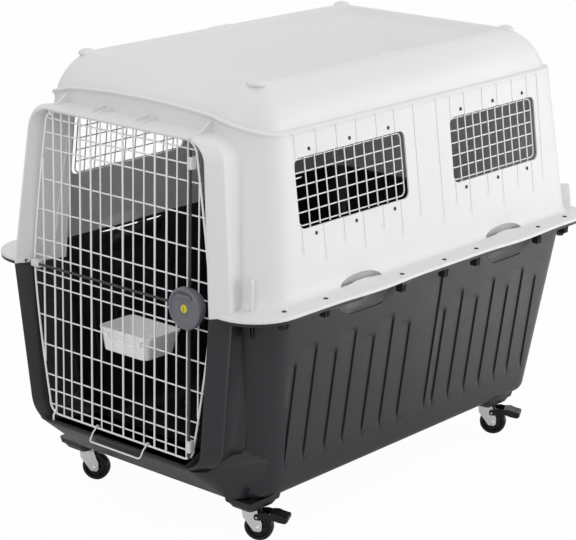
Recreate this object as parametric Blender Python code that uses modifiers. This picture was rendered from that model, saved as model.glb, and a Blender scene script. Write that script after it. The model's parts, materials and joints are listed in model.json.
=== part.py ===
"""A large dog travel crate: two moulded shells joined at a flange, a welded wire door with a
three-rod lock, four wire windows, a hook-on bowl and four swivel casters, two of them braked.

Metres, +Z up. X runs across the crate, Y along it with the door at -Y, and Z is 0 at the floor
under the wheels.
"""
import bmesh
import bpy
from math import atan, cos, hypot, pi, radians, sin
from mathutils import Matrix, Vector

# Driving dimensions of the shells
SEAM = 0.5195            # underside of the roof shell, where the flanges meet
GAP = 0.0003             # clearance between touching pieces
WALL = 0.004             # moulded wall thickness
HALF_WIDTH = 0.3430      # half width of the walls at the seam
FRONT = -0.497           # front wall at the seam
REAR = 0.540             # rear wall of the roof shell at the seam
BASE_REAR = 0.529        # rear wall of the base shell at the seam, before its pleats
FRONT_RADIUS = 0.085
REAR_RADIUS = 0.048
CORNER_STEPS = 4

# Roof shell
ROOF_SIDE_LEAN = 0.13    # metres inward per metre of height
ROOF_FRONT_LEAN = 0.0825
ROOF_REAR_LEAN = 0.07
SHOULDER = 0.848         # height of the lip that runs round the roof
BROW_RISE = 0.035        # how far the lip arches up over the door
BROW_HALF = 0.277        # half length of the arch
FRONT_STEPS = 6          # points along the arch
DOME_PROFILE = (         # height over the shoulder and inset from it, up to the tray rim
    (0.0055, 0.009), (0.030, 0.012), (0.052, 0.0215), (0.070, 0.035), (0.084, 0.051), (0.0925, 0.0655))
ARCH_FADE = 0.078        # height over the shoulder where the arch of the brow has died out
TRAY_PROFILE = ((0.0925, 0.0725), (0.0845, 0.0755), (0.0845, 0.0900), (0.0825, 0.0930))
DOME_CEILING = (0.0785, 0.0470)   # top of the hollow, under the floor of the tray
DOME_FRONT_FACTOR = 1.38
DOME_REAR_FACTOR = 1.75
RIM_RADIUS = 0.030

# Base shell
BASE_TOP = SEAM - GAP
BASE_SIDE_LEAN = 0.144
BASE_FRONT_LEAN = 0.100
BASE_REAR_LEAN = 0.105
FLOOR = 0.100            # underside of the base shell
BOTTOM_EDGE = ((0.020, 0.0), (0.008, 0.004), (0.002, 0.012), (0.0, 0.020))

# Pleats of the base shell
PLEAT_FOOT = 0.180
PLEAT_HIGH = 0.430
PLEAT_LOW = 0.401
PLEAT_HEIGHT = 0.006
PLEAT_WIDTH = 0.046
SIDE_PLEATS = (          # rear edge of each pleat along the side, front to rear
    (-0.378, PLEAT_LOW), (-0.318, PLEAT_HIGH), (-0.253, PLEAT_LOW), (-0.197, PLEAT_HIGH),
    (-0.134, PLEAT_LOW), (-0.076, PLEAT_HIGH), (-0.017, PLEAT_LOW), (0.076, SEAM - 0.03),
    (0.104, PLEAT_LOW), (0.160, PLEAT_HIGH), (0.218, PLEAT_LOW), (0.273, PLEAT_HIGH),
    (0.330, PLEAT_LOW), (0.380, PLEAT_HIGH), (0.436, PLEAT_LOW))
REAR_PLEATS = 7
REAR_PLEAT_PITCH = 0.068

# Flanges
FLANGE_HALF = 0.3925
FLANGE_FRONT = -0.558
FLANGE_REAR = 0.5705
FLANGE_RADIUS = 0.095
FLANGE_THICKNESS = 0.0065
GRIP_CENTRES = (-0.200, 0.2805)
GRIP_HALF_LENGTH = 0.070
GRIP_SWELL = 0.0065
GRIP_DEPTH = 0.015
ROOF_GRIP_HEIGHT = 0.034
BASE_GRIP_HEIGHT = 0.056
BOLT_PLACES = (
    (0.2742, -0.528), (0.3610, -0.455), (0.3655, -0.339), (0.3726, -0.111),
    (0.3734, 0.028), (0.3734, 0.138), (0.3710, 0.366), (0.3660, 0.476))
BOLT_SHANK = 0.0030
BOLT_HEAD = 0.0052

# Door hoop: the flared collar that frames the doorway
HOOP_HALF = 0.2765       # outer half width at the seam, at the front edge
HOOP_UPPER_LEAN = 0.104
HOOP_LOWER_LEAN = 0.110
HOOP_FRONT = -0.5705
HOOP_UPPER_TILT = 0.077
HOOP_LOWER_TILT = 0.026
HOOP_ROOT = -0.455
HOOP_FLARE = 0.39
HOOP_TOP = 0.853
HOOP_BOTTOM = 0.190
HOOP_RADIUS = 0.052
CHIN_FOOT = -0.4555      # front edge of the chin where it meets the floor
CHIN_FOOT_HALF = 0.212

# Door
DOOR_PLANE = -0.539      # middle of the wires at the lock
DOOR_TILT = 0.022
LOCK_HEIGHT = 0.524
LOCK_X = 0.2035
DOOR_HALF = 0.2488
DOOR_TOP = 0.8455
DOOR_BOTTOM = 0.2065
DOOR_CORNER = 0.030
FRAME_WIRE = 0.0022
THICK_WIRE = 0.0021
THIN_WIRE = 0.0016
WELD = 0.0008            # how far wires sink into the frame wire they are welded to
WIRE_CLEARANCE = 0.0001  # between a thin upright and the cross wires that pass behind it
THICK_UPRIGHTS = (-0.2198, -0.1884, -0.1115, -0.0805, 0.010, 0.0984, 0.1304)
THIN_UPRIGHTS = (-0.165, -0.141, -0.0528, -0.0226, 0.039, 0.0688, 0.158, 0.1867, 0.2168)
CROSS_WIRES = (
    0.8284, 0.7987, 0.7653, 0.701, 0.6368, 0.574, 0.5392, 0.5053, 0.4786, 0.4125,
    0.3506, 0.2871, 0.2549, 0.2242)
HINGE_X = -0.1884
HINGE_AHEAD = 0.0085     # hinge line ahead of the door plane
HINGE_PLAY = 0.0006

# Lock
KNOB_RADIUS = 0.042
KNOB_FRONT = -0.5675
KNOB_BACK = -0.5531
HOUSING_RADIUS = 0.036
HOUSING_FRONT = -0.5527
HOUSING_BACK = -0.5434
ROD_RADIUS = 0.0025
ROD_Y = -0.5492
ROD_SLOT = 0.0036
ROD_PLAY = 0.0009         # clearance round a rod end in its socket
ROD_AHEAD = ROD_Y - DOOR_PLANE
CAM_RADIUS = 0.0125
ROD_START = 0.0145
ROD_TOP = 0.8310
ROD_FOOT = 0.2140
ROD_LEFT = -0.2520
CATCH_X = -0.2705        # face of the block that takes the left rod
KNOB_DISH = 0.034
KEY_RADIUS = 0.0085
BACK_PLATE_RADIUS = 0.026

# Windows
WINDOWS = ((-0.367, -0.030), (0.122, 0.424))
WINDOW_TOP = 0.7985
WINDOW_BOTTOM = 0.6610
WINDOW_RADIUS = 0.015
GRILLE_WIRE = 0.0014
GRILLE_MARGIN = 0.005
GRILLE_UPRIGHTS = 10
GRILLE_CROSS = 4
GRILLE_TAIL = 0.013

# Bowl and bail
BOWL_X = (-0.068, 0.072)
BOWL_FRONT = -0.5345
BOWL_REAR = -0.440
BOWL_RIM = 0.424
BOWL_FOOT = 0.376
BOWL_WALL = 0.002
BAIL_LEGS = (-0.066, 0.079)
BAIL_WIRE = 0.0016
BAIL_BAR_Y = -0.5690
BAIL_BAR_Z = 0.1840

# Casters
CASTER_X = 0.2235
CASTER_Y = (-0.3985, 0.4020)
HEADING = radians(28)    # trailing direction from +X
TRAIL = 0.017
WHEEL_RADIUS = 0.030
WHEEL_HALF = 0.0105
CASTER_LEFT_X = 0.2535
BLOCK_FOOT = 0.0755
FORK_TOP = 0.0688
FORK_HALF = 0.0150
SHEET = 0.0018
KINGPIN = 0.0040
AXLE = 0.0030
PEDAL_X = 0.0150
PEDAL_Z = 0.0530
PEDAL_STUD = 0.0022
PEDAL_CHEEK = 0.0020


def collection(name):
    """Return a new collection linked to the scene."""
    group = bpy.data.collections.new(name)
    bpy.context.scene.collection.children.link(group)
    return group


for old in list(bpy.data.objects):
    bpy.data.objects.remove(old)
CRATE = collection("dog_travel_crate")
TOOLS = collection("cutters")


def material(name, colour, roughness, metallic=0.0, alpha=1.0):
    """A plain Principled material."""
    mat = bpy.data.materials.new(name)
    mat.use_nodes = True
    shader = mat.node_tree.nodes["Principled BSDF"]
    shader.inputs["Base Color"].default_value = (*colour, 1.0)
    shader.inputs["Roughness"].default_value = roughness
    shader.inputs["Metallic"].default_value = metallic
    shader.inputs["Alpha"].default_value = alpha
    mat.diffuse_color = (*colour, alpha)
    return mat


ROOF_PLASTIC = material("roof plastic", (0.82, 0.82, 0.82), 0.45)
BASE_PLASTIC = material("base plastic", (0.045, 0.043, 0.048), 0.45)
WHITE_WIRE = material("coated wire", (0.85, 0.85, 0.85), 0.35)
LOCK_PLASTIC = material("lock plastic", (0.07, 0.068, 0.085), 0.4)
KEY_YELLOW = material("key insert", (0.70, 0.62, 0.05), 0.4)
ROD_BLACK = material("rod finish", (0.05, 0.05, 0.052), 0.35, 0.3)
CLIP_WHITE = material("clip plastic", (0.75, 0.75, 0.76), 0.4)
BOWL_CLEAR = material("bowl plastic", (0.80, 0.80, 0.82), 0.25)
BOLT_BLACK = material("bolt plastic", (0.02, 0.02, 0.022), 0.5)
ZINC = material("zinc", (0.75, 0.76, 0.78), 0.3, 1.0)
TYRE = material("wheel plastic", (0.012, 0.012, 0.013), 0.35)


def place(name, mesh, mat, group):
    """Make an object from a mesh and link it."""
    obj = bpy.data.objects.new(name, mesh)
    if mat is not None:
        mesh.materials.append(mat)
        mesh.shade_smooth()
        mesh.set_sharp_from_angle(angle=radians(35))
    else:
        obj.hide_render = True
        obj.display_type = "WIRE"
    group.objects.link(obj)
    return obj


def finish(bm, name, mat=None, group=None):
    """Turn a bmesh into an object: a part when it has a material, a cutter when it has none."""
    bmesh.ops.recalc_face_normals(bm, faces=bm.faces)
    mesh = bpy.data.meshes.new(name)
    bm.to_mesh(mesh)
    bm.free()
    return place(name, mesh, mat, group or (CRATE if mat else TOOLS))


def boolean(obj, tool, operation):
    """Add a live Boolean; the tool stays hidden."""
    modifier = obj.modifiers.new(tool.name, "BOOLEAN")
    modifier.operation = operation
    modifier.object = tool
    tool.hide_render = True
    tool.display_type = "WIRE"


def join(obj, *tools):
    """Union tools into obj."""
    for tool in tools:
        boolean(obj, tool, "UNION")


def cut(obj, *tools):
    """Cut tools out of obj."""
    for tool in tools:
        boolean(obj, tool, "DIFFERENCE")


def rounded_outline(corners, radii, steps=CORNER_STEPS):
    """Points of a closed polygon whose corners are turned into arcs."""
    points = []
    count = len(corners)
    for index, corner in enumerate(corners):
        here = Vector(corner)
        radius = radii[index]
        if radius <= 0:
            points.append(here)
            continue
        before = (Vector(corners[index - 1]) - here).normalized()
        after = (Vector(corners[(index + 1) % count]) - here).normalized()
        half_angle = before.angle(after) / 2
        centre = here + (before + after).normalized() * (radius / sin(half_angle))
        reach = radius * cos(half_angle) / sin(half_angle)
        start = here + before * reach - centre
        end = here + after * reach - centre
        turn = start.angle(end)
        for step in range(steps + 1):
            share = step / steps
            arm = start * sin((1 - share) * turn) + end * sin(share * turn)
            points.append(centre + arm / sin(turn))
    return points


def add_loft(bm, rings):
    """Skin rings of equal length and close both ends."""
    levels = [[bm.verts.new(point) for point in ring] for ring in rings]
    for lower, upper in zip(levels, levels[1:]):
        for index, corner in enumerate(lower):
            after = (index + 1) % len(lower)
            bm.faces.new((corner, lower[after], upper[after], upper[index]))
    bm.faces.new(levels[0])
    bm.faces.new(levels[-1])


def loft(name, rings, mat=None):
    """One closed lofted object."""
    bm = bmesh.new()
    add_loft(bm, rings)
    return finish(bm, name, mat)


def lofts(name, many, mat=None):
    """Several closed lofts that do not touch, in one object."""
    bm = bmesh.new()
    for rings in many:
        add_loft(bm, rings)
    return finish(bm, name, mat)


def add_box(bm, low, high):
    """Add a box between two corners."""
    size = Vector(high) - Vector(low)
    middle = (Vector(high) + Vector(low)) / 2
    matrix = Matrix.Translation(middle) @ Matrix.Diagonal((*size, 1.0))
    bmesh.ops.create_cube(bm, size=1.0, matrix=matrix)


def boxes(name, corners, mat=None):
    """One object made of separate boxes."""
    bm = bmesh.new()
    for low, high in corners:
        add_box(bm, low, high)
    return finish(bm, name, mat)


def add_rod(bm, start, end, radius, segments=12):
    """Add a capped cylinder between two points."""
    start = Vector(start)
    axis = Vector(end) - start
    turn = axis.to_track_quat("Z", "Y").to_matrix().to_4x4()
    matrix = Matrix.Translation(start + axis / 2) @ turn
    bmesh.ops.create_cone(bm, cap_ends=True, segments=segments, radius1=radius, radius2=radius,
                          depth=axis.length, matrix=matrix)


def rods(name, runs, radius, mat=None, segments=12):
    """One object made of separate capped cylinders."""
    bm = bmesh.new()
    for start, end in runs:
        add_rod(bm, start, end, radius, segments)
    return finish(bm, name, mat)


def turned(name, profile, mat, segments):
    """Spin a profile of radius and height about Z, top to bottom."""
    bm = bmesh.new()
    looped = profile[0] == profile[-1]
    verts = [bm.verts.new((radius, 0.0, height)) for radius, height in profile[:len(profile) - looped]]
    for first, second in zip(verts, verts[1:] + verts[:looped]):
        bm.edges.new((first, second))
    mesh = bpy.data.meshes.new(name)
    bm.to_mesh(mesh)
    bm.free()
    obj = place(name, mesh, mat, CRATE if mat else TOOLS)
    screw = obj.modifiers.new("turn", "SCREW")
    screw.steps = segments
    screw.render_steps = segments
    screw.use_merge_vertices = True
    screw.merge_threshold = 0.00001
    return obj


def wire_mesh(name, paths, radius, closed=False):
    """A mesh of square-section wires laid along straight-sided paths."""
    curve = bpy.data.curves.new(name, "CURVE")
    curve.dimensions = "3D"
    curve.bevel_depth = radius
    curve.bevel_resolution = 0
    curve.use_fill_caps = not closed
    for path in paths:
        spline = curve.splines.new("POLY")
        spline.points.add(len(path) - 1)
        spline.use_cyclic_u = closed
        for point, place_at in zip(spline.points, path):
            point.co = (*place_at, 1.0)
    obj = bpy.data.objects.new(name, curve)
    TOOLS.objects.link(obj)
    bpy.context.view_layer.update()
    graph = bpy.context.evaluated_depsgraph_get()
    mesh = bpy.data.meshes.new_from_object(obj.evaluated_get(graph))
    bpy.data.objects.remove(obj)
    bm = bmesh.new()
    bm.from_mesh(mesh)
    bmesh.ops.remove_doubles(bm, verts=bm.verts, dist=0.00001)
    bm.to_mesh(mesh)
    bm.free()
    mesh.materials.clear()
    return mesh


def mirrored(points):
    """The same points on the left-hand side."""
    return [(-x, y) for x, y in points]


# Walls
def roof_half(z):
    """Half width of the roof shell."""
    return HALF_WIDTH - ROOF_SIDE_LEAN * (z - SEAM)


def plan_ring(half, front, rear, front_radius, rear_radius, height):
    """A ring of the shell in plan; height is a function of x and y."""
    corners = ((half, front), (half, rear), (-half, rear), (-half, front))
    radii = (front_radius, rear_radius, rear_radius, front_radius)
    outline = rounded_outline(corners, radii)
    first = outline[0]
    last = outline[-1]
    for step in range(1, FRONT_STEPS):
        outline.append(last.lerp(first, step / FRONT_STEPS))
    return [(x, y, height(x, y)) for x, y in outline]


def brow_lift(x, y, rise):
    """How far the shoulder lip is raised at a point of the front edge."""
    if y > 0 or abs(x) > BROW_HALF:
        return 0.0
    return rise * (1 - (x / BROW_HALF) ** 2)


def roof_wall_ring(z, inset, rise=0.0, lip=0.0):
    """Ring of the roof shell's upright wall."""
    drop = z - SEAM
    return plan_ring(
        roof_half(z) - inset,
        FRONT + ROOF_FRONT_LEAN * drop + inset - lip,
        REAR - ROOF_REAR_LEAN * drop - inset,
        FRONT_RADIUS - inset, REAR_RADIUS - inset,
        lambda x, y: z + brow_lift(x, y, rise))


def dome_ring(height, inset, wall=0.0):
    """Ring of the domed top, inset from the shoulder."""
    beyond = inset - DOME_PROFILE[0][1]
    share = beyond / (DOME_PROFILE[-1][1] - DOME_PROFILE[0][1])
    drop = SHOULDER - SEAM
    radius = FRONT_RADIUS + (RIM_RADIUS - FRONT_RADIUS) * min(share, 1.0)
    rear_radius = REAR_RADIUS + (RIM_RADIUS - REAR_RADIUS) * min(share, 1.0)
    rise = BROW_RISE * max(0.0, 1 - height / ARCH_FADE)
    return plan_ring(
        roof_half(SHOULDER) - inset - wall,
        FRONT + ROOF_FRONT_LEAN * drop - 0.004 + beyond * DOME_FRONT_FACTOR + wall,
        REAR - ROOF_REAR_LEAN * drop - DOME_PROFILE[0][1] - beyond * DOME_REAR_FACTOR - wall,
        radius, rear_radius,
        lambda x, y: SHOULDER + height + brow_lift(x, y, rise))


def base_ring(z, inset):
    """Ring of the base shell's wall."""
    drop = SEAM - z
    return plan_ring(
        HALF_WIDTH - BASE_SIDE_LEAN * drop - inset,
        FRONT + BASE_FRONT_LEAN * drop + inset,
        BASE_REAR - BASE_REAR_LEAN * drop - inset,
        FRONT_RADIUS - inset, REAR_RADIUS - inset,
        lambda x, y: z)


# Flange
def flange_plate(name, bottom, top):
    """Flat flange with its edge swelling at the hand grips."""
    corners = ((FLANGE_HALF, FLANGE_FRONT), (FLANGE_HALF, FLANGE_REAR),
               (-FLANGE_HALF, FLANGE_REAR), (-FLANGE_HALF, FLANGE_FRONT))
    arcs = rounded_outline(corners, [FLANGE_RADIUS] * 4)
    corner = CORNER_STEPS + 1
    side = []
    for centre in GRIP_CENTRES:
        for step in range(-2, 3):
            y = centre + step * GRIP_HALF_LENGTH / 1.2
            swell = GRIP_SWELL * (0.5 + 0.5 * cos(pi * step / 2.5))
            side.append(Vector((FLANGE_HALF + swell, y)))
    other = [Vector((-point.x, point.y)) for point in reversed(side)]
    outline = arcs[:corner] + side + arcs[corner:3 * corner] + other + arcs[3 * corner:]
    rings = [[(x, y, z) for x, y in outline] for z in (bottom, top)]
    return loft(name, rings)


# Door hoop
def hoop_half(z):
    """Outer half width of the hoop's front edge."""
    if z > SEAM:
        return HOOP_HALF - HOOP_UPPER_LEAN * (z - SEAM)
    return HOOP_HALF - HOOP_LOWER_LEAN * (SEAM - z)


def hoop_front(z):
    """Where the hoop's front edge lies."""
    if z > SEAM:
        return HOOP_FRONT + HOOP_UPPER_TILT * (z - SEAM)
    return HOOP_FRONT + HOOP_LOWER_TILT * (SEAM - z)


def hoop_section(edge, start, ahead, wall, root):
    """One slanted section of half the hoop: edge is its top or bottom, start its open side."""
    flare = HOOP_FLARE * ahead
    if root:
        flare = HOOP_FLARE * (HOOP_FRONT - HOOP_ROOT)
    corners = (
        (hoop_half(start) + flare - wall, start),
        (hoop_half(edge) + flare - wall, edge),
        (-hoop_half(edge) - flare + wall, edge),
        (-hoop_half(start) - flare + wall, start))
    outline = rounded_outline(corners, (0.0, HOOP_RADIUS - wall, HOOP_RADIUS - wall, 0.0))
    if root:
        return [(x, HOOP_ROOT, z) for x, z in outline]
    return [(x, hoop_front(z) - ahead, z) for x, z in outline]


def hoop(name, edge, start, ahead=0.0, wall=0.0):
    """Half of the hoop as a solid, from its front edge to inside the front wall."""
    return loft(name, [hoop_section(edge, start, ahead, wall, False),
                       hoop_section(edge, start, ahead, wall, True)])


# Hand grips
def grip_lens(name, height, side_lean, low, high, grow):
    """Half ellipsoids sunk in both side walls at the grips, kept between two heights."""
    bm = bmesh.new()
    for side in (1, -1):
        for centre in GRIP_CENTRES:
            lens = bmesh.new()
            scale = Matrix.Diagonal((GRIP_DEPTH + grow, GRIP_HALF_LENGTH + grow, height + grow, 1))
            matrix = Matrix.Translation((side * HALF_WIDTH, centre, SEAM)) @ scale
            bmesh.ops.create_uvsphere(lens, u_segments=12, v_segments=8, radius=1.0, matrix=matrix)
            planes = [((0, 0, low), (0, 0, -1)), ((0, 0, high), (0, 0, 1))]
            if grow:
                skin = HALF_WIDTH - WALL / 2
                planes.append(((side * skin, 0, SEAM), (side, 0, side_lean)))
            for point, normal in planes:
                slab = lens.verts[:] + lens.edges[:] + lens.faces[:]
                found = bmesh.ops.bisect_plane(lens, geom=slab, plane_co=point, plane_no=normal,
                                               clear_outer=True)
                rim = [item for item in found["geom_cut"] if isinstance(item, bmesh.types.BMEdge)]
                if rim:
                    bmesh.ops.contextual_create(lens, geom=rim)
            piece = bpy.data.meshes.new("grip lens")
            lens.to_mesh(piece)
            lens.free()
            bm.from_mesh(piece)
            bpy.data.meshes.remove(piece)
    return finish(bm, name)


def corner_fins(name, low, high, top_reach, foot_reach):
    """Upright gusset plates at the four corners of the flange."""
    fins = []
    thickness = 0.0025
    for side in (1, -1):
        for y, radius, rear, angle in ((FRONT, FRONT_RADIUS, False, -56), (REAR, REAR_RADIUS, True, 48)):
            sign = -1 if rear else 1
            centre = Vector((HALF_WIDTH - radius, y + sign * radius))
            way = Vector((cos(radians(angle)), sin(radians(angle))))
            across = Vector((-way.y, way.x)) * thickness
            rings = []
            for z, reach in ((low, foot_reach), (high, top_reach)):
                inner = centre + way * (radius - 0.018)
                outer = centre + way * (radius + reach)
                ring = (inner - across, outer - across, outer + across, inner + across)
                rings.append([(side * x, flat_y, z) for x, flat_y in ring])
            fins.append(rings)
    return lofts(name, fins)


def bolt_holes(name):
    """Clearance holes for the flange bolts."""
    runs = []
    for x, y in list(BOLT_PLACES) + mirrored(BOLT_PLACES):
        runs.append(((x, y, SEAM - 0.03), (x, y, SEAM + 0.03)))
    return rods(name, runs, (BOLT_SHANK + GAP) / cos(pi / 4), segments=4)


def window_cutter(name, ends):
    """A rounded slot through both side walls."""
    start, end = ends
    corners = ((start, WINDOW_BOTTOM), (end, WINDOW_BOTTOM), (end, WINDOW_TOP), (start, WINDOW_TOP))
    outline = rounded_outline(corners, [WINDOW_RADIUS] * 4, 2)
    return loft(name, [[(x, y, z) for y, z in outline] for x in (-0.5, 0.5)])


def roof_sockets():
    """Notch for the upper rod, catch bore for the left one and the upper hinge hole."""
    back = door_y(HOOP_TOP) + ROD_AHEAD + ROD_RADIUS + ROD_PLAY
    half = ROD_RADIUS + ROD_PLAY
    notch = boxes("upper_rod_notch", [((LOCK_X - half, HOOP_FRONT, HOOP_TOP - 0.01),
                                       (LOCK_X + half, back, HOOP_TOP + 0.002))])
    run = ((CATCH_X + 0.018, ROD_Y, LOCK_HEIGHT), (CATCH_X - 0.008, ROD_Y, LOCK_HEIGHT))
    bore = rods("left_rod_bore", [run], half, segments=8)
    return notch, bore, tilted_hole("upper_hinge_hole", HINGE_X, -HINGE_AHEAD, THICK_WIRE + HINGE_PLAY, HOOP_TOP)


def base_sockets():
    """Hole for the lower rod and the lower hinge hole."""
    return (tilted_hole("lower_rod_hole", LOCK_X, ROD_AHEAD, ROD_RADIUS + ROD_PLAY, HOOP_BOTTOM),
            tilted_hole("lower_hinge_hole", HINGE_X, -HINGE_AHEAD, THICK_WIRE + HINGE_PLAY, HOOP_BOTTOM))


def tilted_hole(name, x, ahead, radius, z):
    """A hole through the hoop at a height, running parallel to the leaning door."""
    run = ((x, door_y(z - 0.012) + ahead, z - 0.012), (x, door_y(z + 0.012) + ahead, z + 0.012))
    return rods(name, [run], radius, segments=8)


def rod_catch():
    """Block inside the hoop that takes the end of the left rod."""
    half = 0.008
    return boxes("rod_catch", [((CATCH_X - 0.012, ROD_Y - half, SEAM - 0.001),
                                (CATCH_X, ROD_Y + half, SEAM + 0.014))])


def make_roof_shell():
    """Roof shell: lofted wall and dome with the tray, hoop, flange, grips and windows."""
    below = SEAM - 0.002
    outer = [roof_wall_ring(below, 0.0), roof_wall_ring(0.800, 0.0),
             roof_wall_ring(SHOULDER - 0.005, 0.0, BROW_RISE, 0.002),
             roof_wall_ring(SHOULDER, -0.001, BROW_RISE, 0.009),
             roof_wall_ring(SHOULDER + 0.003, 0.003, BROW_RISE, 0.008)]
    outer += [dome_ring(height, inset) for height, inset in DOME_PROFILE + TRAY_PROFILE]
    shell = loft("roof_shell", outer, ROOF_PLASTIC)
    inner = [roof_wall_ring(SEAM - 0.02, WALL), roof_wall_ring(0.800, WALL),
             roof_wall_ring(SHOULDER - 0.008, WALL, BROW_RISE - 0.004),
             dome_ring(0.012, 0.010, WALL)]
    inner += [dome_ring(height - WALL, inset + 0.001, WALL) for height, inset in DOME_PROFILE[2:4]]
    inner.append(dome_ring(*DOME_CEILING, WALL))
    hollow = loft("roof_hollow", inner)
    flange = flange_plate("roof_flange", below, SEAM + FLANGE_THICKNESS)
    collar = hoop("roof_hoop", HOOP_TOP, below)
    fins = corner_fins("roof_fins", SEAM + 0.003, SEAM + 0.066, 0.012, 0.018)
    pockets = grip_lens("roof_pockets", ROOF_GRIP_HEIGHT, ROOF_SIDE_LEAN, below - 0.002, 0.7, WALL)
    scoops = grip_lens("roof_scoops", ROOF_GRIP_HEIGHT, ROOF_SIDE_LEAN,
                       SEAM + FLANGE_THICKNESS, 0.7, 0.0)
    doorway = hoop("roof_doorway", HOOP_TOP - WALL, SEAM - 0.004, 0.03, WALL)
    join(shell, flange, collar)
    cut(shell, hollow)
    join(shell, fins, pockets, roof_bumps(), ledge_pegs())
    cut(shell, scoops, doorway, bolt_holes("roof_bolt_holes"))
    join(shell, rod_catch())
    cut(shell, *roof_sockets())
    cut(shell, window_cutter("front_windows", WINDOWS[0]), window_cutter("rear_windows", WINDOWS[1]))
    cut(shell, boxes("seam_trim", [((-0.5, -0.7, SEAM - 0.1), (0.5, 0.7, SEAM))]))
    return shell


def roof_bumps():
    """Low pads on the corners of the tray rim and in the middle of its long sides."""
    bm = bmesh.new()
    rim = SHOULDER + DOME_PROFILE[-1][0]
    for x in (-0.233, 0.233):
        for y in (-0.394, 0.413):
            matrix = Matrix.Translation((x, y, rim - 0.002)) @ Matrix.Diagonal((0.014, 0.014, 0.009, 1))
            bmesh.ops.create_uvsphere(bm, u_segments=8, v_segments=6, radius=1.0, matrix=matrix)
        add_box(bm, (x - 0.006, -0.03, rim - 0.006), (x + 0.004, 0.04, rim + 0.0025))
    return finish(bm, "roof_bumps")


def ledge_pegs():
    """Small moulded rails on the ledge over the door."""
    low = HOOP_TOP - 0.002
    runs = []
    for x in (-0.076, 0.025):
        runs.append(((x - 0.0015, -0.535, low), (x + 0.0015, -0.500, HOOP_TOP + 0.008)))
    for x in (-0.050, 0.0, 0.050):
        runs.append(((x - 0.020, -0.5265, low), (x + 0.020, -0.5240, HOOP_TOP + 0.003)))
    return boxes("ledge_pegs", runs)


def make_base_shell():
    """Base shell: lofted tub with the chin, hoop, flange, grips and pleats."""
    outer = [base_ring(BASE_TOP, 0.0)]
    outer += [base_ring(FLOOR + height, inset) for height, inset in BOTTOM_EDGE]
    shell = loft("base_shell", outer, BASE_PLASTIC)
    inner = [base_ring(SEAM + 0.05, WALL)]
    inner += [base_ring(FLOOR + WALL + height, inset + WALL) for height, inset in BOTTOM_EDGE]
    hollow = loft("base_hollow", inner)
    flange = flange_plate("base_flange", BASE_TOP - FLANGE_THICKNESS, BASE_TOP)
    collar = hoop("base_hoop", HOOP_BOTTOM, BASE_TOP)
    doorway = hoop("base_doorway", HOOP_BOTTOM + 0.005, SEAM + 0.004, 0.03, WALL)
    fins = corner_fins("base_fins", SEAM - 0.060, SEAM - 0.003, 0.020, 0.004)
    pockets = grip_lens("base_pockets", BASE_GRIP_HEIGHT, -BASE_SIDE_LEAN, 0.3, BASE_TOP, WALL)
    scoops = grip_lens("base_scoops", BASE_GRIP_HEIGHT, -BASE_SIDE_LEAN, 0.3, SEAM + 0.01, 0.0)
    join(shell, flange, collar, chin("chin", 0.0))
    cut(shell, hollow, chin("chin_hollow", WALL))
    join(shell, fins, pockets, pleats(), lip_bar())
    cut(shell, scoops, grip_gaps(), doorway)
    cut(shell, bolt_holes("base_bolt_holes"), *base_sockets(), bail_notches())
    return shell


def chin(name, wall):
    """The sloping panel under the door, as a solid or as the hollow behind it."""
    slope = (hoop_front(HOOP_BOTTOM) - CHIN_FOOT) / (HOOP_BOTTOM - FLOOR)
    back = wall * hypot(1.0, slope)
    rings = []
    for z in (FLOOR + 0.002 + wall, HOOP_BOTTOM + 0.002 - wall):
        share = (z - FLOOR) / (HOOP_BOTTOM - FLOOR)
        half = CHIN_FOOT_HALF + (hoop_half(HOOP_BOTTOM) - 0.008 - CHIN_FOOT_HALF) * share - wall
        front = max(CHIN_FOOT + slope * (z - FLOOR), hoop_front(HOOP_BOTTOM) + 0.0005) + back
        corners = ((half, front), (half, -0.42), (-half, -0.42), (-half, front))
        rings.append([(x, y, z) for x, y in rounded_outline(corners, (0.030 - wall, 0, 0, 0.030 - wall), 3)])
    return loft(name, rings)


def lip_bar():
    """The thick bar of the sill between the two notches for the bail."""
    left, right = BAIL_LEGS
    front = hoop_front(HOOP_BOTTOM)
    return boxes("lip_bar", [((left + 0.006, front, HOOP_BOTTOM - 0.008),
                              (right - 0.006, front + 0.012, HOOP_BOTTOM + 0.004))])


def bail_notches():
    """Open notches in the sill that the legs of the bail lie in."""
    front = hoop_front(HOOP_BOTTOM)
    return boxes("bail_notches", [
        ((x - 0.006, front - 0.02, HOOP_BOTTOM - 0.020), (x + 0.006, front + 0.013, HOOP_BOTTOM + 0.02))
        for x in BAIL_LEGS])


def grip_gaps():
    """Gaps in the base flange at the hand grips, so that fingers reach the roof flange."""
    runs = []
    for side in (1, -1):
        for centre in GRIP_CENTRES:
            near, far = sorted((side * 0.349, side * 0.42))
            runs.append(((near, centre - 0.062, 0.50), (far, centre + 0.062, SEAM + 0.002)))
    return boxes("grip_gaps", runs)


def pleat(edge, width, top, wall_at, point_at):
    """One saw-tooth pleat: a slow rise across the wall and a sharp far edge."""
    rings = []
    for z, height in ((PLEAT_FOOT - 0.022, 0.0), (PLEAT_FOOT + 0.020, 1.0), (top - 0.010, 1.0), (top, 0.3)):
        face = wall_at(z)
        proud = PLEAT_HEIGHT * height + 0.0002
        rings.append([point_at(edge - width, face - 0.001, z), point_at(edge, face - 0.001, z),
                      point_at(edge, face + proud, z)])
    return rings


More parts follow.
